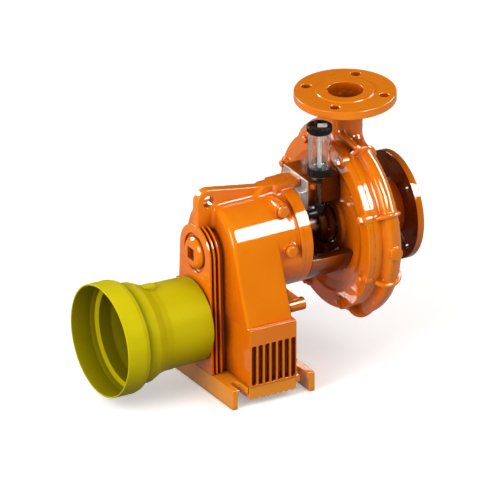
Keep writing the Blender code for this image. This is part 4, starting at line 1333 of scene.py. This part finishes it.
def make_softened():
    for node, bevel, look in (
        ("front_foot", 0.0016, FOOT_LIT_PAINT), ("rear_foot", 0.0016, FOOT_LIT_PAINT),
        ("oil_sump", 0.0009, FOOT_LIT_PAINT), ("bracket_top_arm", 0.0022, ARM_SHADED_PAINT),
        ("bracket_lower_arm", 0.0018, SHADED_PAINT), ("drain_stub", 0.0010, SHADED_PAINT),
        ("guard_latch", 0.0005, LATCH_YELLOW),
    ):
        finish_piece(from_node(node), node + "_look", look, node, bevel)


def make_collar():
    """Ring that carries the guard, with a narrower seat against the front plate."""
    profile = [
        (0.0600, 0.0), (0.0600, COLLAR_SEAT_X), (COLLAR_R, COLLAR_SEAT_X, 0.0012),
        (COLLAR_R, COLLAR_END_X, 0.0008),
    ]
    turned_piece("drive_collar_look", PAINT, "X", ON_DRIVE, profile, "drive_collar", steps=4)


def make_arm_bolt():
    head = bolt("Y", ARM_BOLT, span("bracket_top_arm", "Y")[0] + 0.0002, -1, 0.0072)
    finish_piece(head, "arm_bolt", PAINT, None, 0.0004, 2)


def dress_nodes():
    """Materials for the nodes that stay as they are."""
    slots = {row["node"]: row["material_slot"] for row in frame["record"]["subparts"]}
    looks = {"impeller": CASTING, "impeller_nut": STEEL}
    for name, obj in frame["nodes"].items():
        look = looks.get(name, SLOT_LOOKS[slots[name]])
        obj.data.materials.clear()
        obj.data.materials.append(look.material)


# Camera, light and floor

BACK = (-0.4517, -0.7823, 0.4289)
AIM = Vector((0.1093, 0.0, 0.2352))
VIEW_WIDTH = 0.8954


def aimed(name, data, direction, distance):
    """A camera or light that looks at the pump from a distance."""
    way = Vector(direction).normalized()
    obj = add_object(name, data)
    obj.location = AIM + way * distance
    obj.rotation_mode = "QUATERNION"
    obj.rotation_quaternion = way.to_track_quat("Z", "Y")
    return obj


def make_camera():
    data = bpy.data.cameras.new("view")
    data.type = "ORTHO"
    data.ortho_scale = VIEW_WIDTH
    data.clip_end = 20
    bpy.context.scene.camera = aimed("view", data, BACK, 3)


def softbox(name, direction, distance, size, power, shine):
    """A light that shades the pump, and a glowing panel in its place that only shows in reflections."""
    data = bpy.data.lights.new(name, "AREA")
    data.shape = "RECTANGLE"
    data.size, data.size_y = size
    data.energy = power
    aimed(name, data, direction, distance).visible_glossy = False
    glow_panel(name, direction, distance, size, shine)


def sheet(name, size, material, cells=2):
    """A flat sheet round the origin."""
    shape = bmesh.new()
    bmesh.ops.create_grid(shape, x_segments=cells, y_segments=cells, size=0.5)
    bmesh.ops.scale(shape, vec=(*size, 1.0), verts=shape.verts)
    obj = to_object(shape, name)
    obj.data.materials.append(material)
    return obj


def glow_panel(name, direction, distance, size, shine, roll=0.0):
    """Glowing panel that only shows in reflections, turned by roll round its own middle."""
    way = Vector(direction).normalized()
    panel = sheet(name + "_panel", size, panel_glow(name, shine))
    facing = way.to_track_quat("Z", "Y").to_matrix().to_4x4()
    panel.matrix_world = Matrix.Translation(AIM + way * distance) @ facing @ Matrix.Rotation(roll, 4, "Z")
    panel.visible_camera = False
    panel.visible_diffuse = False
    panel.visible_shadow = False


def panel_glow(name, shine):
    """Even white glow, a little weaker towards the rim."""
    mat = Nodes(name + "_glow")
    reach = mat.add("ShaderNodeVectorMath", operation="LENGTH")
    mat.join(mat.place, reach.inputs[0])
    glow = mat.add("ShaderNodeEmission")
    mat.join(mat.remap(reach.outputs["Value"], shine, shine * 0.8, 0.2, 0.5), glow.inputs["Strength"])
    mat.join(glow.outputs[0], mat.tree.nodes["Material Output"].inputs["Surface"])
    mat.material.cycles.emission_sampling = "NONE"
    return mat.material


def make_world():
    """White backdrop, soft fill light, and a dim room in the reflections."""
    world = bpy.data.worlds.new("studio")
    bpy.context.scene.world = world
    world.use_nodes = True
    tree = world.node_tree
    tree.nodes.clear()
    shades = []
    for colour, strength in (((1, 1, 1), 1.0), ((1, 1, 1), 0.70), ((0.012, 0.010, 0.008), 1.0)):
        shade = tree.nodes.new("ShaderNodeBackground")
        shade.inputs["Color"].default_value = (*colour, 1)
        shade.inputs["Strength"].default_value = strength
        shades.append(shade)
    seen, fill, gloss = shades
    path = tree.nodes.new("ShaderNodeLightPath")
    through = tree.nodes.new("ShaderNodeMath")
    through.operation = "MAXIMUM"
    for index, ray in enumerate(("Is Camera Ray", "Is Transmission Ray")):
        tree.links.new(path.outputs[ray], through.inputs[index])
    inner = mix_shaders(tree, path.outputs["Is Glossy Ray"], fill, gloss)
    outer = mix_shaders(tree, through.outputs[0], inner, seen)
    tree.links.new(outer.outputs[0], tree.nodes.new("ShaderNodeOutputWorld").inputs[0])


def make_floor():
    floor = sheet("floor", (12, 12), floor_paint(), 4)
    floor.data.transform(Matrix.Translation((0, 0, -0.0005)))


bpy.context.scene.view_settings.view_transform = "Standard"
make_camera()
make_world()
make_floor()
softbox("key", (0.4517, -0.6497, 0.6119), 1.6, (0.7, 0.7), 5.2, 28)
softbox("left", (-0.90, -0.30, 0.40), 1.8, (0.8, 0.8), 21, 9)
softbox("back", (-0.38, 0.78, 0.45), 1.8, (0.7, 0.7), 2.0, 26)
glow_panel("right", (0.925, -0.105, 0.375), 1.8, (1.8, 0.36), 22, math.radians(32))

dress_nodes()
make_gearbox()
make_ribbed_foot()
make_fins()
make_front_plate()
make_shaft_plug()
make_rings()
make_oil_plugs()
make_guard()
make_cover()
make_volute()
make_flanges()
make_suction_cover()
make_seal()
make_oiler()
make_oiler_lever()
make_oiler_pipe()
make_softened()
make_collar()
make_arm_bolt()
